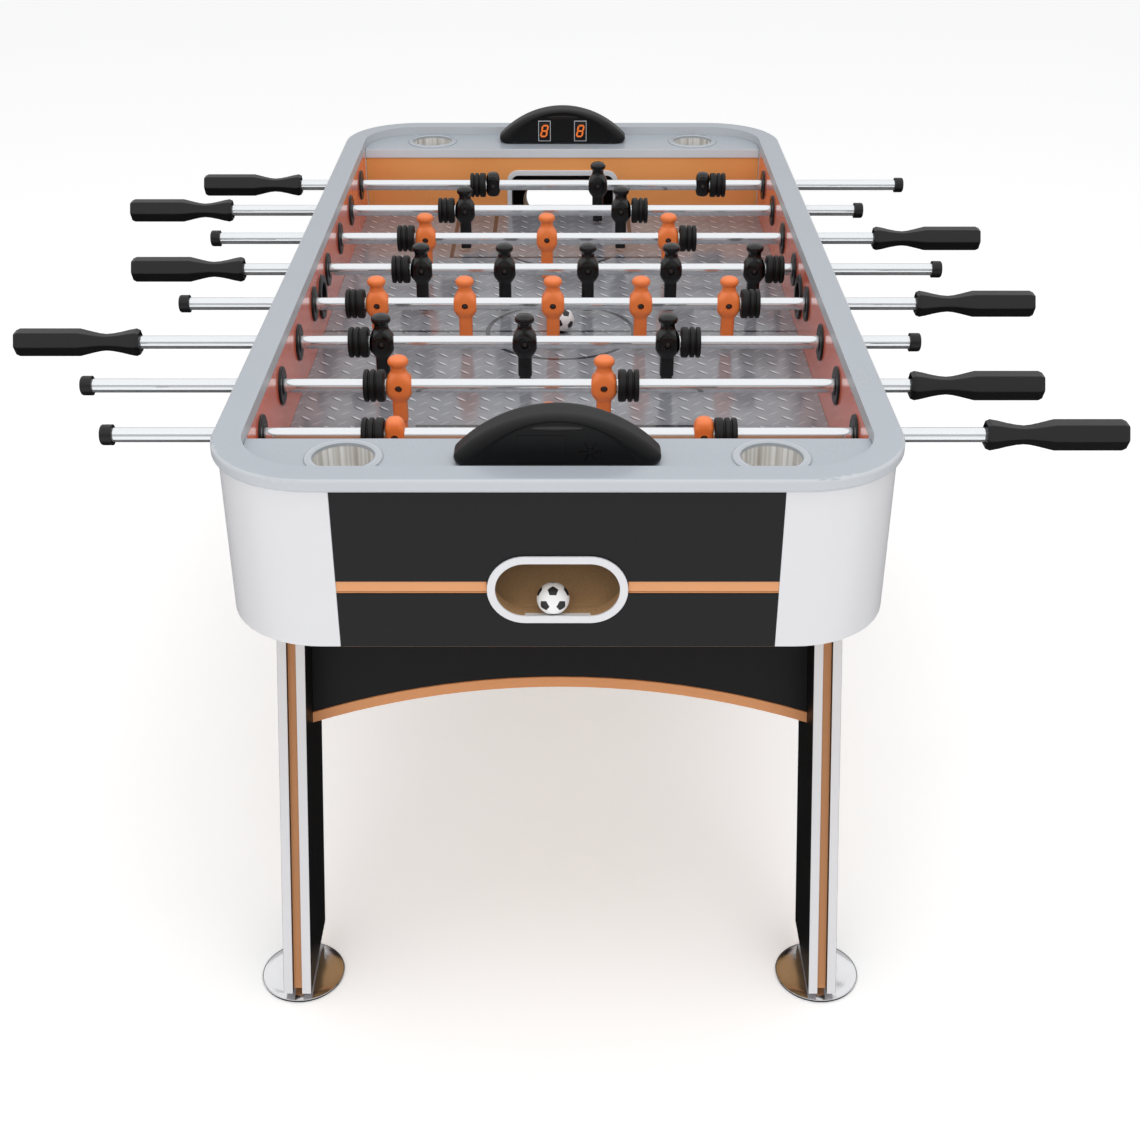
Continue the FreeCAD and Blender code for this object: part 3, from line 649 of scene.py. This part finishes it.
def makeScoreUnits():
    unit = {"corner": 8 * mm, "edge": 13 * mm, "spread": 6 * mm, "recess": 2.0 * mm, "faceHalf": 87 * mm,
            "faceHeight": 53 * mm, "faceBase": 4 * mm, "faceCorner": 2 * mm}
    low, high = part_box("score_housings")
    height = high.z - low.z
    halfWidth = (high.x - low.x) / 2
    radius = (halfWidth ** 2 + height ** 2) / (2 * height)
    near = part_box("score_displays")[1].y - unit["recess"]
    depth = high.y - near
    stand = Matrix.Rotation(radians(90), 4, "X")

    def domeOutline(half, tall, base, corner):
        # (x, z) points of a flat-based arc whose two bottom corners are round
        size = (half ** 2 + tall ** 2) / (2 * tall)
        middle = tall - size
        inset = base + corner
        across = sqrt((size - corner) ** 2 - (inset - middle) ** 2)
        lean = atan2(inset - middle, across)
        points = []
        for step in range(13):
            turn = -pi / 2 + (lean + pi / 2) * step / 12
            points.append((across + corner * cos(turn), inset + corner * sin(turn)))
        for step in range(1, 97):
            turn = lean + (pi - 2 * lean) * step / 96
            points.append((size * cos(turn), middle + size * sin(turn)))
        return points + [(-x, z) for x, z in reversed(points[:12])]

    outer = domeOutline(halfWidth + unit["spread"], height, 0, unit["corner"])
    inner = domeOutline(unit["faceHalf"], unit["faceHeight"], unit["faceBase"], unit["faceCorner"])

    def housing():
        # rings run from one face over the rim to the other: (share towards the inner outline, y)
        recess = unit["recess"]
        front = [(1.0, recess), (0.96, recess - 0.2 * mm), (0.86, 0.7 * mm), (0.76, 0.15 * mm)]
        for step in range(9):
            turn = radians(90 * step / 8)
            front.append((0.66 * (1 - sin(turn)), unit["edge"] * (1 - cos(turn))))
        rings = front + [(share, depth - y) for share, y in reversed(front)]
        bm = bmesh.new()
        loops = []
        for share, y in rings:
            loops.append([bm.verts.new((a + (c - a) * share, y, b + (d - b) * share))
                          for (a, b), (c, d) in zip(outer, inner)])
        for before, after in zip(loops, loops[1:]):
            for number in range(len(before)):
                follow = (number + 1) % len(before)
                bm.faces.new((before[number], before[follow], after[follow], after[number]))
        bm.faces.new(loops[0])
        bm.faces.new(loops[-1])
        bmesh.ops.recalc_face_normals(bm, faces=bm.faces)
        return bm

    def speakerHoles():
        holes = bmesh.new()
        spokes = {"arms": 6, "holes": 3, "first": 4.2 * mm, "pitch": 3.4 * mm, "radius": 0.85 * mm,
                  "x": -35 * mm, "z": 19 * mm, "depth": 8 * mm}
        for arm in range(spokes["arms"]):
            turn = 2 * pi * arm / spokes["arms"]
            for step in range(spokes["holes"]):
                reach = spokes["first"] + spokes["pitch"] * step
                x = spokes["x"] + reach * cos(turn)
                z = spokes["z"] + reach * sin(turn)
                bmesh.ops.create_cone(holes, cap_ends=True, segments=12, radius1=spokes["radius"],
                                      radius2=spokes["radius"], depth=spokes["depth"],
                                      matrix=at(x, depth, z) @ stand)
        return holes

    def places():
        yield at(centreX, near, low.z)
        yield at(centreX, -near, low.z) @ Matrix.Rotation(pi, 4, "Z")

    shell = cut(housing(), speakerHoles())
    saved = bpy.data.meshes.new("shell")
    shell.to_mesh(saved)
    shell.free()
    addPiece(repeated(lambda: fromMesh(saved), list(places())), "scoreHousings", "cabinet", "black_plastic",
             [scorePlastic], ["score_housings"], crease=38)

    def trims():
        # battery door, two clips on the rim
        bm = bmesh.new()
        door = {"left": 43 * mm, "right": -9 * mm, "tall": 32 * mm, "low": 6 * mm, "proud": 0.1 * mm}
        clip = {"x": 89 * mm, "lean": 0.72, "width": 7 * mm, "depth": 11 * mm, "height": 2.2 * mm}
        width = door["left"] - door["right"]
        doorY = depth - unit["recess"] + door["proud"]
        middle = at((door["left"] + door["right"]) / 2, doorY, door["low"] + door["tall"] / 2)
        addShape(bm, slab(width, 1.0 * mm, door["tall"], middle, 0.35 * mm, 2))
        topZ = height - radius + sqrt(radius ** 2 - clip["x"] ** 2)
        for side in (-1, 1):
            place = at(side * clip["x"], depth / 2, topZ) @ Matrix.Rotation(side * clip["lean"], 4, "Y")
            addShape(bm, slab(clip["width"], clip["depth"], clip["height"], place, 0.6 * mm, 2))
        return bm

    addPiece(repeated(trims, list(places())), "scoreTrims", "cabinet", "black_plastic", [scorePlastic])

    def lens():
        # dark oval window under the rim, on both faces
        window = {"z": 46 * mm, "halfWidth": 27 * mm, "proud": 0.7 * mm, "halfHeight": 3.2 * mm}
        bm = bmesh.new()
        for y in (unit["recess"], depth - unit["recess"]):
            oval = bmesh.new()
            bmesh.ops.create_uvsphere(oval, u_segments=48, v_segments=16, radius=1)
            size = Matrix.Diagonal((window["halfWidth"], window["proud"], window["halfHeight"], 1))
            addShape(bm, oval, at(0, y, window["z"]) @ size)
        return bm

    addPiece(repeated(lens, list(places())), "scoreWindows", "cabinet", "black_plastic", [displayDark])
    makeDisplays(places, unit["recess"])
    print("score units ready")


def makeDisplays(places, recess):
    show = {"border": 1.5 * mm, "sink": 0.5 * mm, "lean": 0.2, "width": 9.5 * mm, "height": 19 * mm,
            "bar": 2.9 * mm, "gap": 0.35 * mm, "boxWidth": 22 * mm, "thick": 1.6 * mm}
    low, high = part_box("score_displays")
    boxHeight = high.z - low.z
    boxWidth, thick = show["boxWidth"], show["thick"]
    offset = (high.x - low.x) / 2 - boxWidth / 2

    def screen():
        bm = bmesh.new()
        size = Matrix.Diagonal((boxWidth, thick, boxHeight, 1))
        bmesh.ops.create_cube(bm, size=1, matrix=at(0, recess - thick / 2, boxHeight / 2) @ size)
        roundEdges(bm, 0.4 * mm, 2, 60)
        bm.faces.ensure_lookup_table()
        faces = [face for face in bm.faces if face.normal.y < -0.99]
        bmesh.ops.inset_region(bm, faces=faces, thickness=show["border"] - 0.4 * mm)
        for face in faces:
            face.material_index = 1
        made = bmesh.ops.inset_region(bm, faces=faces, thickness=0.15 * mm, depth=-show["sink"])
        for face in made["faces"]:
            face.material_index = 1
        return bm

    def bar(length, matrix):
        bm = slab(length, 0.3 * mm, show["bar"])
        ends = [edge for edge in bm.edges if abs(edge.verts[0].co.z - edge.verts[1].co.z) < 1e-7
                and abs(edge.verts[0].co.x - edge.verts[1].co.x) < 1e-7]
        bmesh.ops.bevel(bm, geom=ends, offset=show["bar"] * 0.48, offset_type="OFFSET", segments=1,
                        profile=0.5, affect="EDGES", material=-1)
        bmesh.ops.transform(bm, matrix=matrix, verts=bm.verts)
        return bm

    def digit():
        bm = bmesh.new()
        face = recess - thick + show["sink"] - 0.1 * mm
        half = show["height"] / 2
        for level in (-1, 0, 1):
            addShape(bm, bar(show["width"] - show["gap"], at(0, face, level * half)))
        upright = Matrix.Rotation(pi / 2, 4, "Y")
        for side in (-1, 1):
            for level in (-1, 1):
                place = at(side * show["width"] / 2, face, level * half / 2)
                addShape(bm, bar(half - show["gap"], place @ upright))
        shear = Matrix.Identity(4)
        shear[0][2] = show["lean"]
        bmesh.ops.transform(bm, matrix=at(0, 0, boxHeight / 2) @ shear, verts=bm.verts)
        return bm

    lift = low.z - deckTop
    spots = [place @ at(side * offset, 0, lift) for place in places() for side in (-1, 1)]
    addPiece(repeated(screen, spots), "scoreDisplays", "cabinet", "digit_display", [displayRim, displayDark],
             ["score_displays"])
    addPiece(repeated(digit, spots), "scoreDigits", "cabinet", "digit_display", [orangeDigit])


# rods and what is on them

def rodFacts(name):
    low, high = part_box("rod_" + name)
    endLow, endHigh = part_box("grip_and_cap_" + name)
    return {
        "y": (low.y + high.y) / 2, "z": (low.z + high.z) / 2, "radius": (high.y - low.y) / 2,
        "low": low.x, "high": high.x, "endLow": endLow.x, "endHigh": endHigh.x,
        "gripSide": -1 if low.x - endLow.x > endHigh.x - high.x else 1,
        "team": name.split("_")[0],
    }


def makeRods():
    for name in rows:
        fact = rodFacts(name)
        edge = 0.8 * mm
        low, high, radius = fact["low"], fact["high"], fact["radius"]
        profile = [(low, 0.0), (low, radius - edge), (low + edge, radius),
                   (high - edge, radius), (high, radius - edge), (high, 0.0)]
        bm = turned(profile, "X", 72)
        bmesh.ops.translate(bm, vec=(0, fact["y"], fact["z"]), verts=bm.verts)
        addPiece(bm, "rod_" + name, "spindle_" + name, "chrome_rod", [chromeRod], ["rod_" + name])
    print("rods ready")


def makeGrips():
    # distance from the inner end, corner of the hexagon
    handle = {"sections": [(0.0, 16.75), (5.0, 18.8), (14.0, 17.1), (25.0, 14.4), (36.0, 12.3), (45.0, 11.5),
                           (53.0, 12.3), (62.0, 14.3), (80.0, 18.8), (160.0, 18.8), (165.0, 16.5)],
              "edge": 1.0 * mm, "hollow": 5.0 * mm, "length": 165.0}
    cap = {"length": 14.7 * mm, "radius": 12.25 * mm, "round": 3.2 * mm, "lip": 0.6 * mm}

    def grip():
        bm = bmesh.new()
        lie = Matrix.Rotation(pi / 2, 4, "Y")
        sections = handle["sections"]
        bmesh.ops.create_circle(bm, cap_ends=True, segments=6, radius=sections[0][1] * mm, matrix=lie)
        ring = bm.edges[:]
        for before, after in zip(sections, sections[1:]):
            made = bmesh.ops.extrude_edge_only(bm, edges=ring)["geom"]
            verts = [item for item in made if isinstance(item, bmesh.types.BMVert)]
            fresh = set(verts)
            edges = [item for item in made if isinstance(item, bmesh.types.BMEdge)]
            ring = [edge for edge in edges if set(edge.verts) <= fresh]
            grow = after[1] / before[1]
            bmesh.ops.scale(bm, vec=(1, grow, grow), verts=verts)
            bmesh.ops.translate(bm, vec=((after[0] - before[0]) * mm, 0, 0), verts=verts)
        bmesh.ops.edgeloop_fill(bm, edges=ring)
        bmesh.ops.recalc_face_normals(bm, faces=bm.faces)
        long = [edge for edge in bm.edges if abs(edge.verts[0].co.x - edge.verts[1].co.x) > mm]
        bmesh.ops.bevel(bm, geom=long, offset=handle["edge"], offset_type="OFFSET", segments=5, profile=0.5,
                        affect="EDGES", material=-1)
        for side in (-1, 1):
            faces = [face for face in bm.faces if face.normal.x * side > 0.95]
            bmesh.ops.inset_region(bm, faces=faces, thickness=1.0 * mm, depth=0.35 * mm)
        facing = [face for face in bm.faces if face.normal.x < -0.95 and face.calc_center_median().x < mm]
        inner = [face for face in facing if len(face.verts) > 12]
        bmesh.ops.inset_region(bm, faces=inner, thickness=2.2 * mm, depth=-handle["hollow"])
        return bm

    def endCap():
        profile = [(cap["length"], 0.0)]
        profile += arcPoints(cap["length"] - cap["round"], cap["radius"] - cap["round"], cap["round"], 0, 90)
        radius = cap["radius"]
        profile += [(1.6 * mm, radius), (1.2 * mm, radius + cap["lip"] * 0.3), (0.3 * mm, radius),
                    (0.0, radius - 0.6 * mm), (0.0, 9.6 * mm), (1.5 * mm, 8.8 * mm), (1.5 * mm, 0.0)]
        return turned(profile, "X", 48)

    for name in rows:
        fact = rodFacts(name)
        side = fact["gripSide"]
        gripEnd, capEnd = (fact["endHigh"], fact["endLow"]) if side > 0 else (fact["endLow"], fact["endHigh"])
        gripPlace = at(gripEnd - side * handle["length"] * mm, fact["y"], fact["z"])
        capPlace = at(capEnd + side * cap["length"], fact["y"], fact["z"])
        flip = Matrix.Rotation(pi, 4, "Z")
        gripTurn, capTurn = (Matrix.Identity(4), flip) if side > 0 else (flip, Matrix.Identity(4))
        body = "spindle_" + name
        addPiece(repeated(grip, [gripPlace @ gripTurn]), "grip_" + name, body, "grip", [gripRubber],
                 ["grip_and_cap_" + name], crease=12.5)
        addPiece(repeated(endCap, [capPlace @ capTurn]), "cap_" + name, body, "grip", [gripRubber])
    print("grips ready")


def makeBumpers():
    ribs = {"ring": 10.2 * mm, "rib": 6.4 * mm, "groove": 1.6 * mm, "outer": 20.5 * mm, "inner": 17.0 * mm,
            "bore": 8.8 * mm, "steps": 9}

    def swell(start, width):
        points = []
        for step in range(ribs["steps"] + 1):
            turn = pi * step / ribs["steps"]
            along = start + width * (0.5 - 0.5 * copysign(abs(cos(turn)) ** 0.75, cos(turn)))
            points.append((along, ribs["inner"] + (ribs["outer"] - ribs["inner"]) * sin(turn) ** 0.62))
        return points

    def bumper():
        start = ribs["ring"]
        bore = ribs["bore"]
        profile = [(0.0, bore), (0.0, ribs["inner"] - 1 * mm)] + swell(0.0, ribs["ring"])
        for rib in range(2):
            start += ribs["groove"]
            profile += swell(start, ribs["rib"])
            start += ribs["rib"]
        profile += [(start, bore + 3 * mm), (start - 1 * mm, bore + 1.5 * mm), (start - 1 * mm, bore)]
        profile.append(profile[0])
        return turned(profile, "X", 56)

    for name in rows:
        fact = rodFacts(name)
        low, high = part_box("bumpers_" + name)
        length = ribs["ring"] + 2 * (ribs["groove"] + ribs["rib"])
        places = [at(high.x - length, fact["y"], fact["z"]),
                  at(low.x + length, fact["y"], fact["z"]) @ Matrix.Rotation(pi, 4, "Z")]
        addPiece(repeated(bumper, places), "bumpers_" + name, "carriage_" + name, "bumper_rubber",
                 [blackMatt], ["bumpers_" + name], crease=48)
    print("bumpers ready")


# players

def eased(t, a, b, c, d):
    # a smooth path from b to c, with a and d as its neighbours
    bends = (2 * a - 5 * b + 4 * c - d) * t ** 2 + (3 * b - a - 3 * c + d) * t ** 3
    return 0.5 * (2 * b + (c - a) * t + bends)


def tubeOfRings(sections, steps):
    # each section: height, half width, half depth, shift forward, squareness; an eased path joins them
    bm = bmesh.new()
    loops = []
    last = len(sections) - 1
    for number in range(last):
        around = [sections[max(0, min(last, number + shift))] for shift in (-1, 0, 1, 2)]
        parts = max(1, min(5, round(abs(around[2][0] - around[1][0]))))
        for part in range(parts + (number == last - 1)):
            t = part / parts
            ring = [eased(t, *values) for values in zip(*around)]
            power = 2 / ring[4]
            loop = []
            for step in range(steps):
                turn = 2 * pi * step / steps
                x = copysign(abs(cos(turn)) ** power, cos(turn)) * ring[1]
                y = copysign(abs(sin(turn)) ** power, sin(turn)) * ring[2] - ring[3]
                loop.append(bm.verts.new((x * mm, y * mm, ring[0] * mm)))
            loops.append(loop)
    for before, after in zip(loops, loops[1:]):
        for number in range(steps):
            follow = (number + 1) % steps
            bm.faces.new((before[number], before[follow], after[follow], after[number]))
    bm.faces.new(loops[0])
    bm.faces.new(loops[-1])
    bmesh.ops.recalc_face_normals(bm, faces=bm.faces)
    return bm


legRings = [
    (-62.5, 7.4, 6.0, 0.0, 4.5), (-62.1, 8.1, 6.8, 0.0, 4.5), (-61.0, 8.4, 7.0, 0.0, 4.5),
    (-51.0, 7.8, 6.8, 0.0, 4.5), (-47.5, 7.8, 6.9, 0.0, 4.5), (-46.5, 8.6, 7.6, 0.0, 4.5),
    (-45.2, 9.3, 8.0, 0.0, 4.5), (-42.0, 9.35, 8.1, 0.0, 4.5), (-24.0, 9.35, 8.8, 0.0, 4.0),
    (-19.6, 9.4, 9.0, 0.0, 3.6),
]
playerRings = legRings + [
    (-18.2, 10.3, 9.6, 0.1, 3.0), (-15.5, 12.6, 10.7, 0.1, 2.8), (-12.0, 14.6, 12.0, 0.2, 3.2),
    (-8.0, 16.1, 12.7, 0.2, 4.0), (-3.0, 16.75, 12.8, 0.2, 4.2), (4.0, 16.6, 12.8, 0.2, 4.2),
    (9.0, 15.5, 12.5, 0.2, 3.8), (15.0, 12.8, 11.5, 0.2, 2.6), (19.5, 10.3, 9.9, 0.2, 2.0),
    (23.0, 9.5, 9.2, 0.1, 2.0), (26.2, 9.7, 9.3, 0.1, 2.0), (28.0, 11.2, 10.5, 0.1, 2.0),
    (29.6, 12.5, 11.5, 0.1, 2.0), (31.8, 13.0, 12.0, 0.0, 2.0), (34.0, 12.8, 11.9, 0.0, 2.0),
    (36.8, 11.2, 10.7, 0.0, 2.0), (38.8, 8.2, 7.9, 0.0, 2.0), (39.8, 4.6, 4.4, 0.0, 2.0),
    (40.0, 1.6, 1.5, 0.0, 2.0),
]
torsoRings = [
    (-19.0, 3.0, 3.0, 0.0, 2.2), (-18.4, 6.4, 6.4, 0.0, 2.3), (-16.6, 9.4, 9.4, 0.0, 2.4),
    (-13.5, 11.0, 11.0, 0.0, 2.5), (-8.0, 11.75, 11.6, 0.0, 4.0), (8.0, 11.75, 11.7, 0.0, 4.0),
    (14.0, 11.3, 11.3, 0.0, 2.8), (18.5, 9.8, 9.8, 0.0, 2.3), (21.4, 7.0, 7.0, 0.0, 2.2),
    (22.3, 4.0, 4.0, 0.0, 2.1), (22.5, 1.4, 1.4, 0.0, 2.0),
]


def limb(start, end, width, depth):
    # a tapering arm between two points, in millimetres
    first, last = Vector(start) * mm, Vector(end) * mm
    reach = last - first
    bm = bmesh.new()
    turn = reach.to_track_quat("Z", "Y").to_matrix().to_4x4()
    bmesh.ops.create_cube(bm, size=1, matrix=Matrix.Diagonal((width * mm, depth * mm, reach.length, 1)))
    roundEdges(bm, 1.5 * mm, 3)
    tips = [vert for vert in bm.verts if vert.co.z > 0]
    bmesh.ops.scale(bm, vec=(0.8, 0.8, 1), verts=tips)
    bmesh.ops.transform(bm, matrix=Matrix.Translation((first + last) / 2) @ turn, verts=bm.verts)
    return bm


screw = {"hole": 4.5 * mm, "seat": 9.2 * mm, "deep": 10 * mm}


def figureMesh(rings, withArms, radius):
    bm = tubeOfRings(rings, 48)
    cutters = bmesh.new()
    for side in (-1, 1):
        place = at(0, side * (screw["seat"] + screw["deep"] / 2), 0) @ Matrix.Rotation(pi / 2, 4, "X")
        bmesh.ops.create_cone(cutters, cap_ends=True, segments=28, radius1=screw["hole"],
                              radius2=screw["hole"], depth=screw["deep"], matrix=place)
    bm = cut(bm, cutters)
    bore = bmesh.new()
    bmesh.ops.create_cone(bore, cap_ends=True, segments=40, radius1=radius, radius2=radius, depth=60 * mm,
                          matrix=Matrix.Rotation(pi / 2, 4, "Y"))
    bm = cut(bm, bore)
    if withArms:
        for side in (-1, 1):
            addShape(bm, limb((side * 10.8, -5.5, 12.5), (side * 12.2, -8.0, -2.0), 6.0, 7.0))
            addShape(bm, limb((side * 11.6, -9.2, -2.6), (side * 3.0, -11.6, 6.8), 4.6, 4.8))
    mesh = bpy.data.meshes.new("figure")
    bm.to_mesh(mesh)
    bm.free()
    return mesh


def boltShape():
    # button head with a socket, pointing along -y
    profile = [(0.0, 0.0), (0.0, 4.35), (0.5, 4.35), (0.9, 3.6), (1.9, 3.0), (2.2, 2.2), (2.2, 1.6),
               (0.9, 1.4), (0.9, 0.0)]
    bm = turned([(along * mm, radius * mm) for along, radius in profile], "Z", 24)
    bmesh.ops.transform(bm, matrix=Matrix.Rotation(pi / 2, 4, "X"), verts=bm.verts)
    return bm


def makePlayers():
    radius = rodFacts("black_goal")["radius"]
    full = figureMesh(playerRings, True, radius)
    torso = figureMesh(torsoRings, False, radius)
    finishFor = {"black": blackFigure, "orange": orangeFigure}
    for name, row in rows.items():
        fact = rodFacts(name)
        low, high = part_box("players_" + name)
        half = figureHalf["torso" if row["torsos"] else "whole"]
        first, last = low.x + half, high.x - half
        turn = Matrix.Rotation(pi if fact["team"] == "orange" else 0.0, 4, "Z")
        bm = bmesh.new()
        bolts = bmesh.new()
        for number in range(row["players"]):
            x = first + (last - first) * number / (row["players"] - 1)
            outer = number in (0, row["players"] - 1)
            place = at(x, fact["y"], fact["z"]) @ turn
            addShape(bm, fromMesh(torso if row["torsos"] and outer else full), place)
            for side in (0, pi):
                spot = place @ Matrix.Rotation(side, 4, "Z") @ at(0, -screw["seat"], 0)
                addShape(bolts, boltShape(), spot)
        body = "spindle_" + name
        team = fact["team"]
        addPiece(bm, "players_" + name, body, team + "_player", [finishFor[team]], ["players_" + name],
                 crease=40)
        # the bolt heads' dark tone is partly painted shade for the screw holes
        addPiece(bolts, "bolts_" + name, body, "chrome_rod", [boltSteelAndHoleShade])
    print("players ready")


# feet and balls

def makeFeet():
    foot = {"pad": 3.2 * mm, "side": 54.2 * mm, "plate": 54.1 * mm, "edge": 0.9 * mm, "shoulder": 5.0 * mm,
            "fall": 42.0 * mm, "crown": 8.6 * mm, "nut": 9.5 * mm, "nutTop": 13.7 * mm, "pitch": 1.25 * mm,
            "turns": 24}
    padTop, crown, top = foot["pad"], foot["crown"], foot["nutTop"]
    for side in ("front_left", "front_right", "back_left", "back_right"):
        low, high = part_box("foot_" + side)
        middle = at((low.x + high.x) / 2, (low.y + high.y) / 2, low.z)
        body = side + "_foot"
        pad = turned([(0.0, 0.0), (0.0, 52.6 * mm), (0.5 * mm, 53.6 * mm), (1.4 * mm, foot["side"]),
                      (padTop, foot["side"]), (padTop, 0.0)], "Z", 96)
        addPiece(repeated(lambda: pad, [middle]), "footPad_" + side, body, "bumper_rubber", [blackMatt])
        profile = [(padTop, 0.0), (padTop, foot["side"])]
        profile += arcPoints(padTop + foot["edge"], foot["plate"], foot["edge"], -90, 90, 6)[1:]
        for step in range(1, 9):
            share = step / 8
            rise = (crown - foot["shoulder"]) * sin(share * pi / 2)
            profile.append((foot["shoulder"] + rise, foot["plate"] - foot["fall"] * share))
        profile.append((crown, 0.0))
        plate = turned(profile, "Z", 96)
        addPiece(repeated(lambda: plate, [middle]), "footPlate_" + side, body, "chrome_foot", [chromeFoot],
                 ["foot_" + side])
        nut = bmesh.new()
        bmesh.ops.create_cone(nut, cap_ends=True, segments=6, radius1=foot["nut"], radius2=foot["nut"],
                              depth=top - crown, matrix=at(0, 0, (top + crown) / 2))
        roundEdges(nut, 0.5 * mm, 2)
        thread = [(top - mm, 0.0)]
        for step in range(foot["turns"]):
            base = top + foot["pitch"] * step
            thread += [(base, 3.55 * mm), (base + 0.6 * mm, 4.0 * mm)]
        thread += [(high.z - low.z - 0.2 * mm, 3.3 * mm), (high.z - low.z, 2.9 * mm), (high.z - low.z, 0.0)]
        addShape(nut, turned(thread, "Z", 20))
        addPiece(repeated(lambda: nut, [middle]), "footNut_" + side, body, "chrome_foot", [chromeFoot])
    print("feet ready")


def makeBalls():
    balls = {
        "game_ball": {"body": "ball_in_play", "turn": (35, 20, 25)},
        "return_ball": {"body": "ball_in_return", "turn": (31.6, 0, 18)},
    }
    whitePatch = evenFinish("ballWhite", tone(240, 240, 240), 0.38, 0.0012, 0.00005, drift=0.01)
    blackPatch = evenFinish("ballBlack", tone(22, 22, 24), 0.40, 0.0012, 0.00005)
    for node, spec in balls.items():
        low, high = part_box(node)
        radius = (high.x - low.x) / 2
        bm = bmesh.new()
        bmesh.ops.create_icosphere(bm, subdivisions=1, radius=1)
        bmesh.ops.bevel(bm, geom=bm.verts[:], offset=33.3, offset_type="PERCENT", segments=1, profile=0.5,
                        affect="VERTICES", material=-1)
        for face in bm.faces:
            face.material_index = 1 if len(face.verts) == 5 else 0
        tilt = [Matrix.Rotation(radians(angle), 4, axis) for angle, axis in zip(spec["turn"], "XYZ")]
        bmesh.ops.inset_individual(bm, faces=bm.faces[:], thickness=0.016)
        bmesh.ops.poke(bm, faces=[face for face in bm.faces if len(face.verts) > 4])
        bmesh.ops.triangulate(bm, faces=bm.faces[:])
        bmesh.ops.subdivide_edges(bm, edges=bm.edges[:], cuts=7, use_grid_fill=True)
        for vert in bm.verts:
            vert.co = vert.co.normalized() * radius
        place = Matrix.Translation((low + high) / 2) @ tilt[0] @ tilt[1] @ tilt[2]
        bmesh.ops.transform(bm, matrix=place, verts=bm.verts)
        addPiece(bm, node.split("_")[0] + "Ball", spec["body"], "ball", [whitePatch, blackPatch], [node],
                 crease=60)
    print("balls ready")


addCamera()
addStage()
addLamps()
print("stage ready")
makeCabinet()
makeCupHolders()
makeBearings()
makeScoreUnits()
makeRods()
makeGrips()
makeBumpers()
makePlayers()
makeFeet()
makeBalls()
